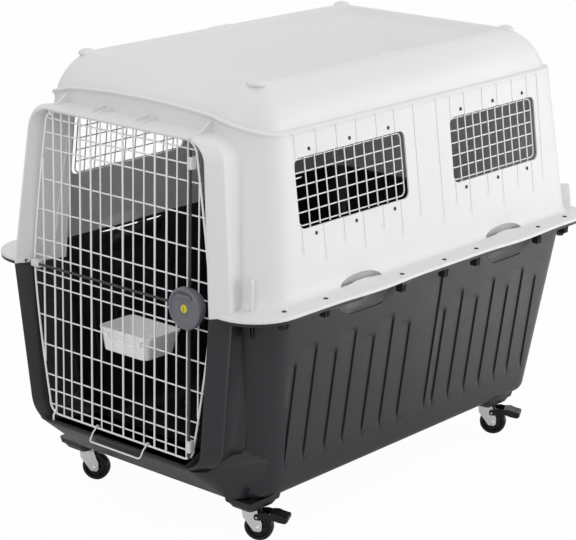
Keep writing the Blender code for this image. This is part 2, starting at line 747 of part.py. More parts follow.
def pleats():
    """Pleats along both sides and across the rear."""
    many = []
    for side in (1, -1):
        for index, (edge, top) in enumerate(SIDE_PLEATS):
            width = min(PLEAT_WIDTH, edge - SIDE_PLEATS[index - 1][0] - 0.002) if index else PLEAT_WIDTH
            many.append(pleat(edge, width, top,
                              lambda z: HALF_WIDTH - BASE_SIDE_LEAN * (SEAM - z),
                              lambda along, out, z: (side * out, along, z)))
    for index in range(REAR_PLEATS):
        edge = (index - (REAR_PLEATS - 1) / 2) * REAR_PLEAT_PITCH + PLEAT_WIDTH / 2
        many.append(pleat(edge, PLEAT_WIDTH, PLEAT_LOW if index % 2 else PLEAT_HIGH,
                          lambda z: BASE_REAR - BASE_REAR_LEAN * (SEAM - z),
                          lambda along, out, z: (along, out, z)))
    return lofts("pleats", many)


def make_flange_bolts():
    """Sixteen push rivets through the two flanges."""
    top = SEAM + FLANGE_THICKNESS + GAP
    foot = BASE_TOP - FLANGE_THICKNESS - GAP
    profile = ((0.0, top + 0.0022), (BOLT_HEAD, top), (BOLT_SHANK, top),
               (BOLT_SHANK, foot), (BOLT_HEAD, foot), (0.0, foot - 0.010))
    for index, (x, y) in enumerate(list(BOLT_PLACES) + mirrored(BOLT_PLACES)):
        bolt = turned("flange_bolt_%02d" % (index + 1), profile, BOLT_BLACK, 6)
        bolt.location = (x, y, 0.0)


def make_window_grille(name, side, ends):
    """A welded wire grille that lies against the inside of the wall."""
    slope = atan(ROOF_SIDE_LEAN)
    middle_z = (WINDOW_TOP + WINDOW_BOTTOM) / 2
    half_height = (WINDOW_TOP - WINDOW_BOTTOM) / 2 / cos(slope) - GRILLE_MARGIN
    half_length = (ends[1] - ends[0]) / 2 - GRILLE_MARGIN
    corners = ((-half_length, -half_height), (half_length, -half_height),
               (half_length, half_height), (-half_length, half_height))
    outline = rounded_outline(corners, [WINDOW_RADIUS - 0.003] * 4, 2)
    frame_at = -side * (2 * GRILLE_WIRE - WELD)
    behind = -side * (2 * GRILLE_WIRE + WIRE_CLEARANCE)
    frame = place(name, wire_mesh(name, [[(frame_at, y, z) for y, z in outline]], GRILLE_WIRE, True),
                  WHITE_WIRE, CRATE)
    pitch = 2 * half_length / (GRILLE_UPRIGHTS + 1)
    uprights = []
    for index in range(GRILLE_UPRIGHTS):
        y = -half_length + pitch * (index + 1)
        tail = GRILLE_TAIL if index in (0, 4, 5, 9) else 0.004
        uprights.append([(0.0, y, -half_height - tail), (0.0, y, half_height + tail)])
    cross = []
    for index in range(GRILLE_CROSS):
        z = -half_height + 2 * half_height * (index + 1) / (GRILLE_CROSS + 1)
        cross.append([(behind, -half_length, z), (behind, half_length, z)])
    tools = [place(name + "_uprights", wire_mesh("uprights", uprights, GRILLE_WIRE), None, TOOLS),
             place(name + "_cross", wire_mesh("cross", cross, GRILLE_WIRE), None, TOOLS)]
    depth = WALL / cos(slope) + (GRILLE_WIRE + GAP + 0.0002) / cos(slope)
    spot = (side * (roof_half(middle_z) - depth), (ends[0] + ends[1]) / 2, middle_z)
    for obj in [frame] + tools:
        obj.location = spot
        obj.rotation_euler = (0.0, -side * slope, 0.0)
    join(frame, *tools)


# Door
def door_y(z):
    """Middle plane of the door."""
    return DOOR_PLANE + DOOR_TILT * (z - LOCK_HEIGHT)


def door_half(z):
    """Half width of the door frame: widest at the lock, drawn in above and below."""
    rise = z - LOCK_HEIGHT
    if rise > 0:
        return DOOR_HALF - 0.19 * rise ** 1.3
    return DOOR_HALF - 0.24 * (-rise) ** 1.4


def door_reach(x):
    """Lowest and highest point of an upright at x."""
    low = DOOR_BOTTOM
    high = DOOR_TOP
    while door_half(low) < abs(x) + 0.002:
        low += 0.002
    while door_half(high) < abs(x) + 0.002:
        high -= 0.002
    return low, high


def door_outline():
    """Centre line of the frame wire, seen from the front."""
    levels = [DOOR_BOTTOM + DOOR_CORNER + (DOOR_TOP - DOOR_BOTTOM - 2 * DOOR_CORNER) * step / 8
              for step in range(9)]
    right = [Vector((door_half(z), z)) for z in levels]
    foot = door_half(levels[0]) - 0.002
    head = door_half(levels[-1]) - 0.004
    corners = [(foot, DOOR_BOTTOM)] + [tuple(point) for point in right] + [(head, DOOR_TOP)]
    corners += [(-x, z) for x, z in reversed(corners)]
    radii = []
    for x, z in corners:
        radii.append(DOOR_CORNER - 0.003 if z in (DOOR_BOTTOM, DOOR_TOP) else 0.0)
    return rounded_outline(corners, radii, 4)


def make_door_grid():
    """Welded wire door: frame, uprights in front, cross wires behind, and two hinge pins."""
    behind = 2 * THIN_WIRE + WIRE_CLEARANCE
    outline = door_outline()
    frame = place("door_grid", wire_mesh("door_grid", [[(x, door_y(z), z) for x, z in outline]],
                                         FRAME_WIRE, True), WHITE_WIRE, CRATE)
    for label, places, radius in (("thick", THICK_UPRIGHTS, THICK_WIRE), ("thin", THIN_UPRIGHTS, THIN_WIRE)):
        paths = []
        for x in places:
            low, high = door_reach(x)
            paths.append([(x, door_y(low), low), (x, door_y(high), high)])
        tool = place("door_uprights_" + label, wire_mesh("uprights", paths, radius), None, TOOLS)
        join(frame, tool)
    cross = []
    for z in CROSS_WIRES:
        half = door_half(z) + 0.001
        cross.append([(-half, door_y(z) + behind, z), (half, door_y(z) + behind, z)])
    tool = place("door_cross", wire_mesh("cross", cross, THIN_WIRE), None, TOOLS)
    join(frame, tool)
    pins = []
    for start, end in ((DOOR_BOTTOM + 0.012, HOOP_BOTTOM + 0.0015), (DOOR_TOP - 0.012, HOOP_TOP - 0.001)):
        middle = (start + end) / 2
        pins.append([(HINGE_X, door_y(start), start), (HINGE_X, hinge_y(middle), middle),
                     (HINGE_X, hinge_y(end), end)])
    tool = place("hinge_pins", wire_mesh("pins", pins, THICK_WIRE), None, TOOLS)
    join(frame, tool)
    return frame


def hinge_y(z):
    """The hinge line runs ahead of the door plane and parallel to it."""
    return door_y(z) - HINGE_AHEAD


# Lock
def turned_lock_part(name, profile, mat, segments, spot):
    """A turned piece of the lock with its axis along Y, facing the front."""
    obj = turned(name, profile, mat, segments)
    obj.rotation_euler = (pi / 2, 0.0, 0.0)
    obj.location = spot
    return obj


def make_lock():
    """Knob, key insert and cam, the housing they turn in, and the clamp plate behind the door."""
    centre = (LOCK_X, 0.0, LOCK_HEIGHT)
    housing = turned_lock_part("lock_housing", (
        (0.0, -HOUSING_FRONT), (HOUSING_RADIUS - 0.002, -HOUSING_FRONT),
        (HOUSING_RADIUS, -HOUSING_FRONT - 0.002), (HOUSING_RADIUS, -HOUSING_BACK),
        (0.0, -HOUSING_BACK)), LOCK_PLASTIC, 20, centre)
    deep = ROD_Y + ROD_SLOT
    ahead = HOUSING_FRONT - 0.01
    upright = boxes("upright_slot", [
        ((LOCK_X - ROD_SLOT, ahead, LOCK_HEIGHT - 0.06), (LOCK_X + ROD_SLOT, deep, LOCK_HEIGHT + 0.06))])
    level = boxes("level_slot", [
        ((LOCK_X - 0.06, ahead, LOCK_HEIGHT - ROD_SLOT), (LOCK_X, deep, LOCK_HEIGHT + ROD_SLOT))])
    well = rods("cam_well", [((LOCK_X, ahead, LOCK_HEIGHT), (LOCK_X, deep, LOCK_HEIGHT))],
                CAM_RADIUS + 0.0012, segments=14)
    cut(housing, upright, level, well)

    grip = KNOB_RADIUS - 0.004
    knob = turned_lock_part("lock_knob", (
        (0.0, -KNOB_FRONT - 0.0015), (KNOB_DISH, -KNOB_FRONT - 0.0015), (KNOB_DISH + 0.002, -KNOB_FRONT),
        (grip, -KNOB_FRONT), (KNOB_RADIUS, -KNOB_FRONT - 0.004), (KNOB_RADIUS, -KNOB_BACK + 0.003),
        (grip, -KNOB_BACK), (0.0, -KNOB_BACK)), LOCK_PLASTIC, 22, centre)
    front = KNOB_FRONT + 0.0015
    pointer = boxes("knob_pointer", [((LOCK_X - 0.016, KNOB_FRONT - 0.0005, LOCK_HEIGHT + 0.0205),
                                      (LOCK_X + 0.016, front + 0.001, LOCK_HEIGHT + 0.0275))])
    join(knob, pointer)
    well = rods("key_well", [((LOCK_X, KNOB_FRONT - 0.01, LOCK_HEIGHT), (LOCK_X, front + 0.0075, LOCK_HEIGHT))],
                KEY_RADIUS + GAP, segments=14)
    cut(knob, well)

    key = turned_lock_part("key_insert", (
        (0.0, -KNOB_FRONT), (KEY_RADIUS - 0.0008, -KNOB_FRONT), (KEY_RADIUS, -KNOB_FRONT - 0.0008),
        (KEY_RADIUS, -front - 0.0072), (0.0, -front - 0.0072)), KEY_YELLOW, 14, centre)
    slot = boxes("key_slot", [((LOCK_X - 0.0009, KNOB_FRONT - 0.01, LOCK_HEIGHT - 0.0035),
                               (LOCK_X + 0.0009, KNOB_FRONT + 0.004, LOCK_HEIGHT + 0.0035))])
    cut(key, slot)

    turned_lock_part("lock_cam", (
        (0.0, -KNOB_BACK - GAP), (CAM_RADIUS, -KNOB_BACK - GAP), (CAM_RADIUS, -deep + GAP),
        (0.0, -deep + GAP)), ROD_BLACK, 14, centre)

    behind = DOOR_PLANE + 3 * THIN_WIRE + WIRE_CLEARANCE + 0.0010
    turned_lock_part("lock_back_plate", (
        (0.0, -behind), (BACK_PLATE_RADIUS, -behind), (BACK_PLATE_RADIUS - 0.0015, -behind - 0.0035),
        (0.0, -behind - 0.0035)), LOCK_PLASTIC, 18, centre)


def make_lock_rods():
    """Three rods that the knob drives out into the hoop: up, down and to the left."""
    ends = {
        "lock_rod_up": ((LOCK_X, LOCK_HEIGHT + ROD_START), (LOCK_X, ROD_TOP)),
        "lock_rod_down": ((LOCK_X, LOCK_HEIGHT - ROD_START), (LOCK_X, ROD_FOOT)),
        "lock_rod_left": ((LOCK_X - ROD_START, LOCK_HEIGHT), (ROD_LEFT, LOCK_HEIGHT))}
    for name, run in ends.items():
        rods(name, [[(x, door_y(z) + ROD_AHEAD, z) for x, z in run]], ROD_RADIUS, ROD_BLACK, 10)


def make_rod_guides():
    """Three clips that hold the free ends of the rods to the door."""
    for name, x, z, half_x, half_z in (
            ("rod_guide_top", LOCK_X, 0.806, 0.007, 0.012),
            ("rod_guide_bottom", LOCK_X, 0.240, 0.007, 0.012),
            ("rod_guide_left", -0.2330, LOCK_HEIGHT, 0.011, 0.0075)):
        back = door_y(z) - THICK_WIRE - GAP - 0.0002
        centre = door_y(z) + ROD_AHEAD
        clip = boxes(name, [((x - half_x, centre - 0.0055, z - half_z), (x + half_x, back, z + half_z))],
                     CLIP_WHITE)
        run = ((x - 0.03, centre, z), (x + 0.03, centre, z))
        if half_z > half_x:
            run = [(x, door_y(end) + ROD_AHEAD, end) for end in (z - 0.03, z + 0.03)]
        cut(clip, rods(name + "_bore", [run], (ROD_RADIUS + 0.0005) / cos(pi / 8), segments=8))


# Bowl and bail
def make_water_bowl():
    """Tapered bowl with a rim and two hooks that hang over a cross wire."""
    taper = 0.008
    left, right = BOWL_X

    def ring(z, grow, inset):
        front = BOWL_FRONT - grow / 4 + inset
        corners = ((left - grow + inset, front), (right + grow - inset, front),
                   (right + grow - inset, BOWL_REAR + grow - inset), (left - grow + inset, BOWL_REAR + grow - inset))
        outline = rounded_outline(corners, [0.012] * 4, 2)
        return [(x, y, z) for x, y in outline]

    bowl = loft("water_bowl", [ring(BOWL_FOOT, -taper, 0.0), ring(BOWL_RIM - 0.003, 0.0, 0.0),
                               ring(BOWL_RIM - 0.003, 0.003, 0.0), ring(BOWL_RIM, 0.003, 0.0)], BOWL_CLEAR)
    hollow = loft("bowl_hollow", [ring(BOWL_FOOT + BOWL_WALL, -taper, BOWL_WALL),
                                  ring(BOWL_RIM + 0.004, 0.001, BOWL_WALL)])
    wire = CROSS_WIRES[9]
    top = wire + THIN_WIRE + GAP + 0.0004
    middle = door_y(wire) + 2 * THIN_WIRE + WIRE_CLEARANCE
    ahead = middle - THIN_WIRE - 0.0006
    hook = ((BOWL_FRONT + 0.0015, top), (BOWL_FRONT + 0.0015, top + 0.0025), (ahead - 0.0022, top + 0.0025),
            (ahead - 0.0022, wire - 0.0045), (ahead, wire - 0.0045), (ahead, top))
    hooks = lofts("bowl_hooks", [[[(x + half, y, z) for y, z in hook] for half in (-0.004, 0.004)]
                                 for x in (left + 0.030, right - 0.018)])
    cut(bowl, hollow)
    join(bowl, hooks)


def make_door_bail():
    """Wire bail that hangs from the bottom of the door over the sill."""
    left, right = BAIL_LEGS
    pivot_y = door_y(DOOR_BOTTOM)
    pivot_z = DOOR_BOTTOM
    hook = FRAME_WIRE + BAIL_WIRE + 0.0012
    path = []
    for x, sign in ((left, 1), (right, -1)):
        leg = [(x, pivot_y + hook, pivot_z + 0.001), (x, pivot_y + 0.001, pivot_z + hook),
               (x, pivot_y - hook, pivot_z + 0.001), (x, pivot_y - 0.012, pivot_z - 0.006),
               (x, BAIL_BAR_Y + 0.003, BAIL_BAR_Z + 0.004), (x + sign * 0.004, BAIL_BAR_Y, BAIL_BAR_Z)]
        path += leg if sign == 1 else leg[::-1]
    place("door_bail", wire_mesh("door_bail", [path], BAIL_WIRE), WHITE_WIRE, CRATE)


# Casters
def caster_frame(corner):
    """World matrix of a caster: +X trails behind the kingpin, +Y lies along the axle."""
    return Matrix.Translation((*corner, 0.0)) @ Matrix.Rotation(HEADING, 4, "Z")


def seat(obj, matrix):
    """Place an object by a matrix."""
    obj.matrix_world = matrix
    return obj


def extruded(name, outline, low, high, mat=None):
    """An outline of X and Z run between two Y values."""
    return loft(name, [[(x, y, z) for x, z in outline] for y in (low, high)], mat)


def make_caster_block(label, corner):
    """Stepped block under the floor that the caster is fixed to."""
    side = 1 if corner[0] > 0 else -1
    middle = (corner[0] + side * 0.004, corner[1])
    rings = []
    for z, half_x, half_y in ((BLOCK_FOOT, 0.026, 0.034), (BLOCK_FOOT + 0.010, 0.032, 0.042),
                              (BLOCK_FOOT + 0.011, 0.036, 0.046), (FLOOR - GAP, 0.038, 0.049)):
        corners = ((middle[0] + half_x, middle[1] - half_y), (middle[0] + half_x, middle[1] + half_y),
                   (middle[0] - half_x, middle[1] + half_y), (middle[0] - half_x, middle[1] - half_y))
        rings.append([(x, y, z) for x, y in rounded_outline(corners, [0.010] * 4, 1)])
    loft("caster_block_" + label, rings, BASE_PLASTIC)


def make_caster_plate(label, frame):
    """Square top plate with the swivel race and the kingpin."""
    top = BLOCK_FOOT - GAP
    plate = boxes("caster_plate_" + label, [((-0.021, -0.021, top - 0.002), (0.021, 0.021, top))], ZINC)
    race = turned("caster_race_" + label, (
        (0.0, top - 0.001), (0.013, top - 0.001), (0.013, FORK_TOP + GAP), (KINGPIN, FORK_TOP + GAP),
        (KINGPIN, FORK_TOP - SHEET - GAP), (0.0065, FORK_TOP - SHEET - GAP),
        (0.0065, FORK_TOP - SHEET - 0.0022), (0.0, FORK_TOP - SHEET - 0.0022)), None, 8)
    race.matrix_world = frame
    seat(plate, frame)
    join(plate, race)


def make_caster_fork(label, frame, braked):
    """Pressed fork: a top plate with a kingpin hole and two cheeks that hold the axle."""
    top = boxes("caster_fork_" + label, [
        ((-0.016, -FORK_HALF, FORK_TOP - SHEET), (0.015, FORK_HALF, FORK_TOP))], ZINC)
    corners = ((-0.016, FORK_TOP), (-0.014, 0.052), (TRAIL - 0.0085, 0.0225), (TRAIL + 0.0085, 0.0215),
               (TRAIL + 0.009, 0.040), (0.015, FORK_TOP))
    outline = rounded_outline(corners, (0.0, 0.0, 0.0060, 0.0070, 0.0, 0.0), 1)
    tools = []
    for side in (1, -1):
        outer = side * FORK_HALF
        inner = side * (FORK_HALF - SHEET)
        low, high = min(inner, outer), max(inner, outer)
        tools.append(extruded("cheek_%s_%d" % (label, side), outline, low, high))
    bore = rods("axle_bore_" + label, [((TRAIL, -0.03, WHEEL_RADIUS), (TRAIL, 0.03, WHEEL_RADIUS))],
                (AXLE + GAP) / cos(pi / 6), segments=6)
    hole = rods("kingpin_bore_" + label, [((0, 0, FORK_TOP - 0.01), (0, 0, FORK_TOP + 0.01))],
                (KINGPIN + GAP) / cos(pi / 6), segments=6)
    if braked:
        stud = PEDAL_CHEEK + GAP + 0.0008
        tools.append(rods("pedal_studs_" + label, [
            ((PEDAL_X, side * (FORK_HALF - 0.001), PEDAL_Z), (PEDAL_X, side * (FORK_HALF + stud), PEDAL_Z))
            for side in (1, -1)], PEDAL_STUD, segments=6))
    for tool in tools + [bore, hole]:
        seat(tool, frame)
    seat(top, frame)
    join(top, *tools)
    cut(top, bore, hole)


def make_caster_wheel(label, frame):
    """Wheel with a crowned tread and a recessed web, and the axle it runs on."""
    hub = 0.0080
    side = ((AXLE + 0.0004, WHEEL_HALF + 0.0008), (hub, WHEEL_HALF + 0.0008), (0.0200, WHEEL_HALF - 0.004),
            (0.0230, WHEEL_HALF), (WHEEL_RADIUS - 0.002, WHEEL_HALF), (WHEEL_RADIUS, WHEEL_HALF - 0.0035))
    profile = side + tuple((radius, -height) for radius, height in reversed(side))
    lay = frame @ Matrix.Translation((TRAIL, 0.0, WHEEL_RADIUS)) @ Matrix.Rotation(-pi / 2, 4, "X")
    seat(turned("caster_wheel_" + label, profile + profile[:1], TYRE, 16), lay)
    end = FORK_HALF + 0.0012
    seat(turned("caster_axle_" + label, ((0.0, end), (AXLE, end), (AXLE, -end), (0.0, -end)), ZINC, 8), lay)


def make_brake_pedal(label, frame):
    """Foot pedal: two cheeks outside the fork and a tread that reaches out over the wheel."""
    inner = FORK_HALF + GAP + 0.0002
    outer = inner + PEDAL_CHEEK
    tread = rounded_outline(((0.0425, 0.0625), (0.0425, 0.0540), (0.0560, 0.0475), (0.0800, 0.0440),
                             (0.0830, 0.0520), (0.0640, 0.0570), (0.0560, 0.0640)),
                            (0.002, 0.0, 0.0, 0.002, 0.002, 0.0, 0.002), 1)
    pedal = extruded("brake_pedal_" + label, tread, -outer, outer, TYRE)
    cheek = rounded_outline(((PEDAL_X - 0.005, PEDAL_Z - 0.005), (PEDAL_X + 0.006, PEDAL_Z - 0.005),
                             (0.0500, 0.0520), (0.0500, 0.0620), (0.0300, 0.0650),
                             (PEDAL_X - 0.005, PEDAL_Z + 0.006)),
                            (0.0045, 0.0, 0.0, 0.0, 0.0, 0.0045), 2)
    cheeks = []
    for side in (1, -1):
        low, high = sorted((side * inner, side * (outer - 0.0001)))
        cheeks.append(extruded("pedal_cheek_%s_%d" % (label, side), cheek, low, high))
    bore = rods("pedal_bore_" + label, [((PEDAL_X, -0.03, PEDAL_Z), (PEDAL_X, 0.03, PEDAL_Z))],
                (PEDAL_STUD + GAP) / cos(pi / 6), segments=6)
    for obj in [pedal, bore] + cheeks:
        seat(obj, frame)
    join(pedal, *cheeks)
    cut(pedal, bore)
    pivot = Matrix.Translation((PEDAL_X, 0.0, PEDAL_Z))
    pedal.data.transform(pivot.inverted())
    pedal.matrix_world = frame @ pivot


def make_casters():
    """Four swivel casters; the two on the right have a foot brake."""
    for side_name, side in (("right", 1), ("left", -1)):
        for place_name, y in zip(("front", "rear"), CASTER_Y):
            label = "%s_%s" % (side_name, place_name)
            corner = (CASTER_X if side == 1 else -CASTER_LEFT_X, y)
            frame = caster_frame(corner)
            make_caster_block(label, corner)
            make_caster_plate(label, frame)
            make_caster_fork(label, frame, side == 1)
            make_caster_wheel(label, frame)
            if side == 1:
                make_brake_pedal(label, frame)


def main():
    make_roof_shell()
    make_base_shell()
    make_flange_bolts()
    for side_name, side in (("right", 1), ("left", -1)):
        for place_name, ends in zip(("front", "rear"), WINDOWS):
            make_window_grille("window_grille_%s_%s" % (side_name, place_name), side, ends)
    make_door_grid()
    make_lock()
    make_lock_rods()
    make_rod_guides()
    make_water_bowl()
    make_door_bail()
    make_casters()


main()
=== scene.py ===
# %% [markdown]
# # A large dog travel crate
#
# The crate is two moulded shells clamped together at a flange, with a welded wire door, four wire
# windows, a three-rod lock, a hook-on bowl and four swivel casters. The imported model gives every
# piece its place and its motion. This notebook gives the pieces their looks: it grows finer shells
# and rounder wires over the model's plain ones, and paints everything with node materials.

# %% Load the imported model
import json
from math import asin, atan, atan2, cos, hypot, pi, radians, sin, sqrt

import bmesh
import bpy
from mathutils import Matrix, Vector

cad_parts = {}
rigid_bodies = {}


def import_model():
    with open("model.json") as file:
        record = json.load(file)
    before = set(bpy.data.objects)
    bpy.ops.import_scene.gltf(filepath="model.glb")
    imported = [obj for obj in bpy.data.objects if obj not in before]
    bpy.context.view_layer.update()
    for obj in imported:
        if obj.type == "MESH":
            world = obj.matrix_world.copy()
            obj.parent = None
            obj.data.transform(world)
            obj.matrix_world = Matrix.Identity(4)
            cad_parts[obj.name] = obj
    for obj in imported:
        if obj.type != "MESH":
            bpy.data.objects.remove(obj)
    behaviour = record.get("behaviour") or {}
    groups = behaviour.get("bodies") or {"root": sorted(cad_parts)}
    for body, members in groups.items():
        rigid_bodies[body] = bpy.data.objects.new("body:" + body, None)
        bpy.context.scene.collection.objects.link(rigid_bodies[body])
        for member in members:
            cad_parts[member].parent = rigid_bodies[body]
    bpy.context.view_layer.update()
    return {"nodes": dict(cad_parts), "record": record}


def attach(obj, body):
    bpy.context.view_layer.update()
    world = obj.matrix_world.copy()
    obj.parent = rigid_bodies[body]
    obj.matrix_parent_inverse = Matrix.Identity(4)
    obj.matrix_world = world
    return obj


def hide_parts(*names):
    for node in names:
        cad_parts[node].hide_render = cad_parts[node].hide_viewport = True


for old in list(bpy.data.objects):
    bpy.data.objects.remove(old)
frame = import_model()

# %% [markdown]
# ## Shader maths that reads like arithmetic
#
# A material is a graph of nodes. Wiring each one by hand hides what the maths means, so one small
# class wraps a socket and another holds a material. Adding two signals then adds a Math node.

# %% Signals and finishes


class Signal:
    """One number or colour that flows through a material."""

    def __init__(self, finish, socket):
        self.finish = finish
        self.socket = socket

    def math(self, operation, first, second):
        return self.finish.node("ShaderNodeMath", {"operation": operation}, [first, second])

    def __add__(self, other):
        return self.math("ADD", self, other)

    def __radd__(self, other):
        return self.math("ADD", other, self)

    def __sub__(self, other):
        return self.math("SUBTRACT", self, other)

    def __mul__(self, other):
        return self.math("MULTIPLY", self, other)

    def __rmul__(self, other):
        return self.math("MULTIPLY", other, self)

    def between(self, low, high):
        """0 below low, 1 above high, and a smooth ramp from one to the other."""
        return self.finish.node("ShaderNodeMapRange", {"interpolation_type": "SMOOTHSTEP"},
                                {"Value": self, "From Min": low, "From Max": high})


class Finish:
    """A material with a Principled shader, built up node by node."""

    def __init__(self, name, **constants):
        self.material = bpy.data.materials.new(name)
        self.material.use_nodes = True
        self.nodes = self.material.node_tree.nodes
        self.links = self.material.node_tree.links
        self.shader = self.nodes["Principled BSDF"]
        for key, value in constants.items():
            self.set(key.replace("_", " "), value)

    def put(self, socket, value):
        if isinstance(value, Signal):
            self.links.new(value.socket, socket)
        elif socket.type == "RGBA":
            socket.default_value = (*value, 1.0)
        else:
            socket.default_value = value

    def set(self, name, value):
        self.put(self.shader.inputs[name], value)

    def node(self, kind, settings=None, inputs=None, output=0):
        """Any node: its settings first, then the values or links of its sockets."""
        made = self.nodes.new(kind)
        for key, value in (settings or {}).items():
            setattr(made, key, value)
        pairs = inputs.items() if isinstance(inputs, dict) else enumerate(inputs or [])
        for key, value in pairs:
            self.put(made.inputs[key], value)
        return Signal(self, made.outputs[output])

    def place(self, stretch=(1.0, 1.0, 1.0)):
        """Where a point lies on the piece, in metres, with each axis stretched if asked."""
        spot = self.node("ShaderNodeTexCoord", output="Object")
        if stretch == (1.0, 1.0, 1.0):
            return spot
        return self.node("ShaderNodeMapping", inputs={"Vector": spot, "Scale": stretch})

    def noise(self, scale, detail=2.0, stretch=(1.0, 1.0, 1.0)):
        """Soft random variation; scale is in features a metre."""
        return self.node("ShaderNodeTexNoise", inputs={
            "Vector": self.place(stretch), "Scale": scale, "Detail": detail})

    def mix(self, share, first, second):
        """A blend of two colours."""
        made = self.nodes.new("ShaderNodeMix")
        made.data_type = "RGBA"
        self.put(made.inputs["Factor"], share)
        self.put(made.inputs[6], first)
        self.put(made.inputs[7], second)
        return Signal(self, made.outputs[2])

    def bump(self, height, depth):
        """Raise the surface by height, where a height of 1 is depth metres."""
        self.set("Normal", self.node("ShaderNodeBump", inputs={"Height": height, "Distance": depth}))


def tint(colour, factor):
    """The same colour, lighter or darker."""
    return tuple(min(1.0, channel * factor) for channel in colour)


# %% [markdown]
# ## Moulded plastic
#
# The shells are injection moulded polypropylene: a fine spark-eroded grain, a slow drift of tone
# from the flow of the melt, and scuffs where the surface has been rubbed. Grain goes in the bump,
# drift in the colour, and scuffs in the roughness, all as noise on object coordinates so that
# nothing slides when a piece moves.

# %% Plastics


def moulded(name, colour, roughness, grain=0.00006, drift=0.04, scuff=0.10, specular=0.5):
    """Grained plastic with drifting tone and faint scuffs."""
    finish = Finish(name, Specular_IOR_Level=specular)
    flow = finish.noise(4.0, 3.0, (1.0, 1.0, 0.45)).between(0.30, 0.70)
    dust = finish.noise(38.0, 4.0).between(0.55, 0.80)
    toned = finish.mix(flow, tint(colour, 1 - drift), tint(colour, 1 + drift))
    finish.set("Base Color", finish.mix(dust * 0.10, toned, tint(colour, 1 + 2.2 * drift)))
    rubbed = finish.noise(60.0, 5.0, (1.0, 0.25, 1.0)).between(0.52, 0.74)
    finish.set("Roughness", roughness + scuff * rubbed - 0.03 * flow)
    finish.bump(finish.noise(1300.0, 2.0) + 0.5 * finish.noise(420.0, 1.0), grain)
    return finish.material


ROOF_WHITE = moulded("roof plastic", (0.80, 0.805, 0.80), 0.42, drift=0.012)
BASE_GREY = moulded("base plastic", (0.020, 0.0184, 0.0220), 0.36, grain=0.00009, drift=0.10, specular=0.45)
LOCK_GREY = moulded("lock plastic", (0.150, 0.146, 0.170), 0.38, grain=0.00005, drift=0.06)
CLIP_WHITE = moulded("clip plastic", (0.74, 0.74, 0.75), 0.36, grain=0.00003, drift=0.02)
BOLT_BLACK = moulded("bolt plastic", (0.020, 0.020, 0.022), 0.45, grain=0.00004, drift=0.10)
WHEEL_BLACK = moulded("wheel plastic", (0.010, 0.010, 0.011), 0.28, grain=0.00003, drift=0.15,
                      scuff=0.25, specular=0.35)
KEY_YELLOW = moulded("key plastic", (0.66, 0.58, 0.05), 0.34, grain=0.00003, drift=0.04)

# %% [markdown]
# ## Metal and the clear bowl
#
# The wires are steel under a thick white powder coat, which flows into a faint orange peel. The
# casters are pressed steel with bright zinc, whose crystals leave patches of different gloss. The
# rods are steel under black lacquer. The bowl is clear plastic gone milky with washing.

# %% Metals and the bowl plastic


def coated(name, colour, roughness, metallic=0.0, peel=0.00008):
    """A painted or coated metal with a little orange peel."""
    finish = Finish(name, Metallic=metallic)
    worn = finish.noise(90.0, 4.0).between(0.56, 0.78)
    finish.set("Base Color", finish.mix(worn * 0.35, colour, tint(colour, 0.86)))
    finish.set("Roughness", roughness + 0.14 * worn)
    finish.bump(finish.noise(380.0, 2.0), peel)
    return finish.material


def zinc_plate(name):
    """Bright zinc with mottled crystals and fine rolling lines."""
    finish = Finish(name, Metallic=1.0)
    crystal = finish.node("ShaderNodeTexVoronoi", inputs={"Vector": finish.place(), "Scale": 420.0})
    rolled = finish.noise(700.0, 2.0, (0.08, 1.0, 1.0))
    finish.set("Base Color", finish.mix(crystal.between(0.1, 0.7), (0.90, 0.91, 0.93), (0.80, 0.81, 0.83)))
    finish.set("Roughness", 0.24 + 0.16 * crystal + 0.08 * rolled)
    finish.bump(rolled, 0.00003)
    return finish.material


def milky(name, colour, clearness):
    """Translucent plastic: thin alpha, with a haze of fine scratches."""
    finish = Finish(name, Base_Color=colour)
    scratched = finish.noise(260.0, 5.0, (0.2, 1.0, 1.0)).between(0.50, 0.75)
    finish.set("Alpha", clearness + 0.10 * scratched)
    finish.set("Roughness", 0.18 + 0.20 * scratched)
    finish.bump(finish.noise(150.0, 2.0), 0.0001)
    return finish.material


WIRE_WHITE = coated("coated wire", (0.93, 0.935, 0.94), 0.30)
ROD_BLACK = coated("rod lacquer", (0.045, 0.045, 0.047), 0.30, 0.2)
ZINC = zinc_plate("zinc plate")
BOWL_CLEAR = milky("bowl plastic", (0.97, 0.975, 0.98), 0.93)

SLOTS = {
    "roof_plastic": ROOF_WHITE, "base_plastic": BASE_GREY, "coated_wire": WIRE_WHITE,
    "lock_plastic": LOCK_GREY, "key_plastic": KEY_YELLOW, "rod_finish": ROD_BLACK,
    "clip_plastic": CLIP_WHITE, "bowl_plastic": BOWL_CLEAR, "bolt_plastic": BOLT_BLACK,
    "zinc": ZINC, "wheel_plastic": WHEEL_BLACK}
for entry in frame["record"]["subparts"]:
    node = frame["nodes"][entry["node"]]
    node.data.materials.clear()
    node.data.materials.append(SLOTS[entry["material_slot"]])
print("finishes:", len(SLOTS))

# %% [markdown]
# ## Tools for making pieces
#
# A shell wall is easiest to grow: draw the rim as a ring of vertices, extrude its edges, and set
# the new ring where the wall passes next. Every helper below starts from a ring and extrudes it.

# %% Helpers that grow a piece ring by ring


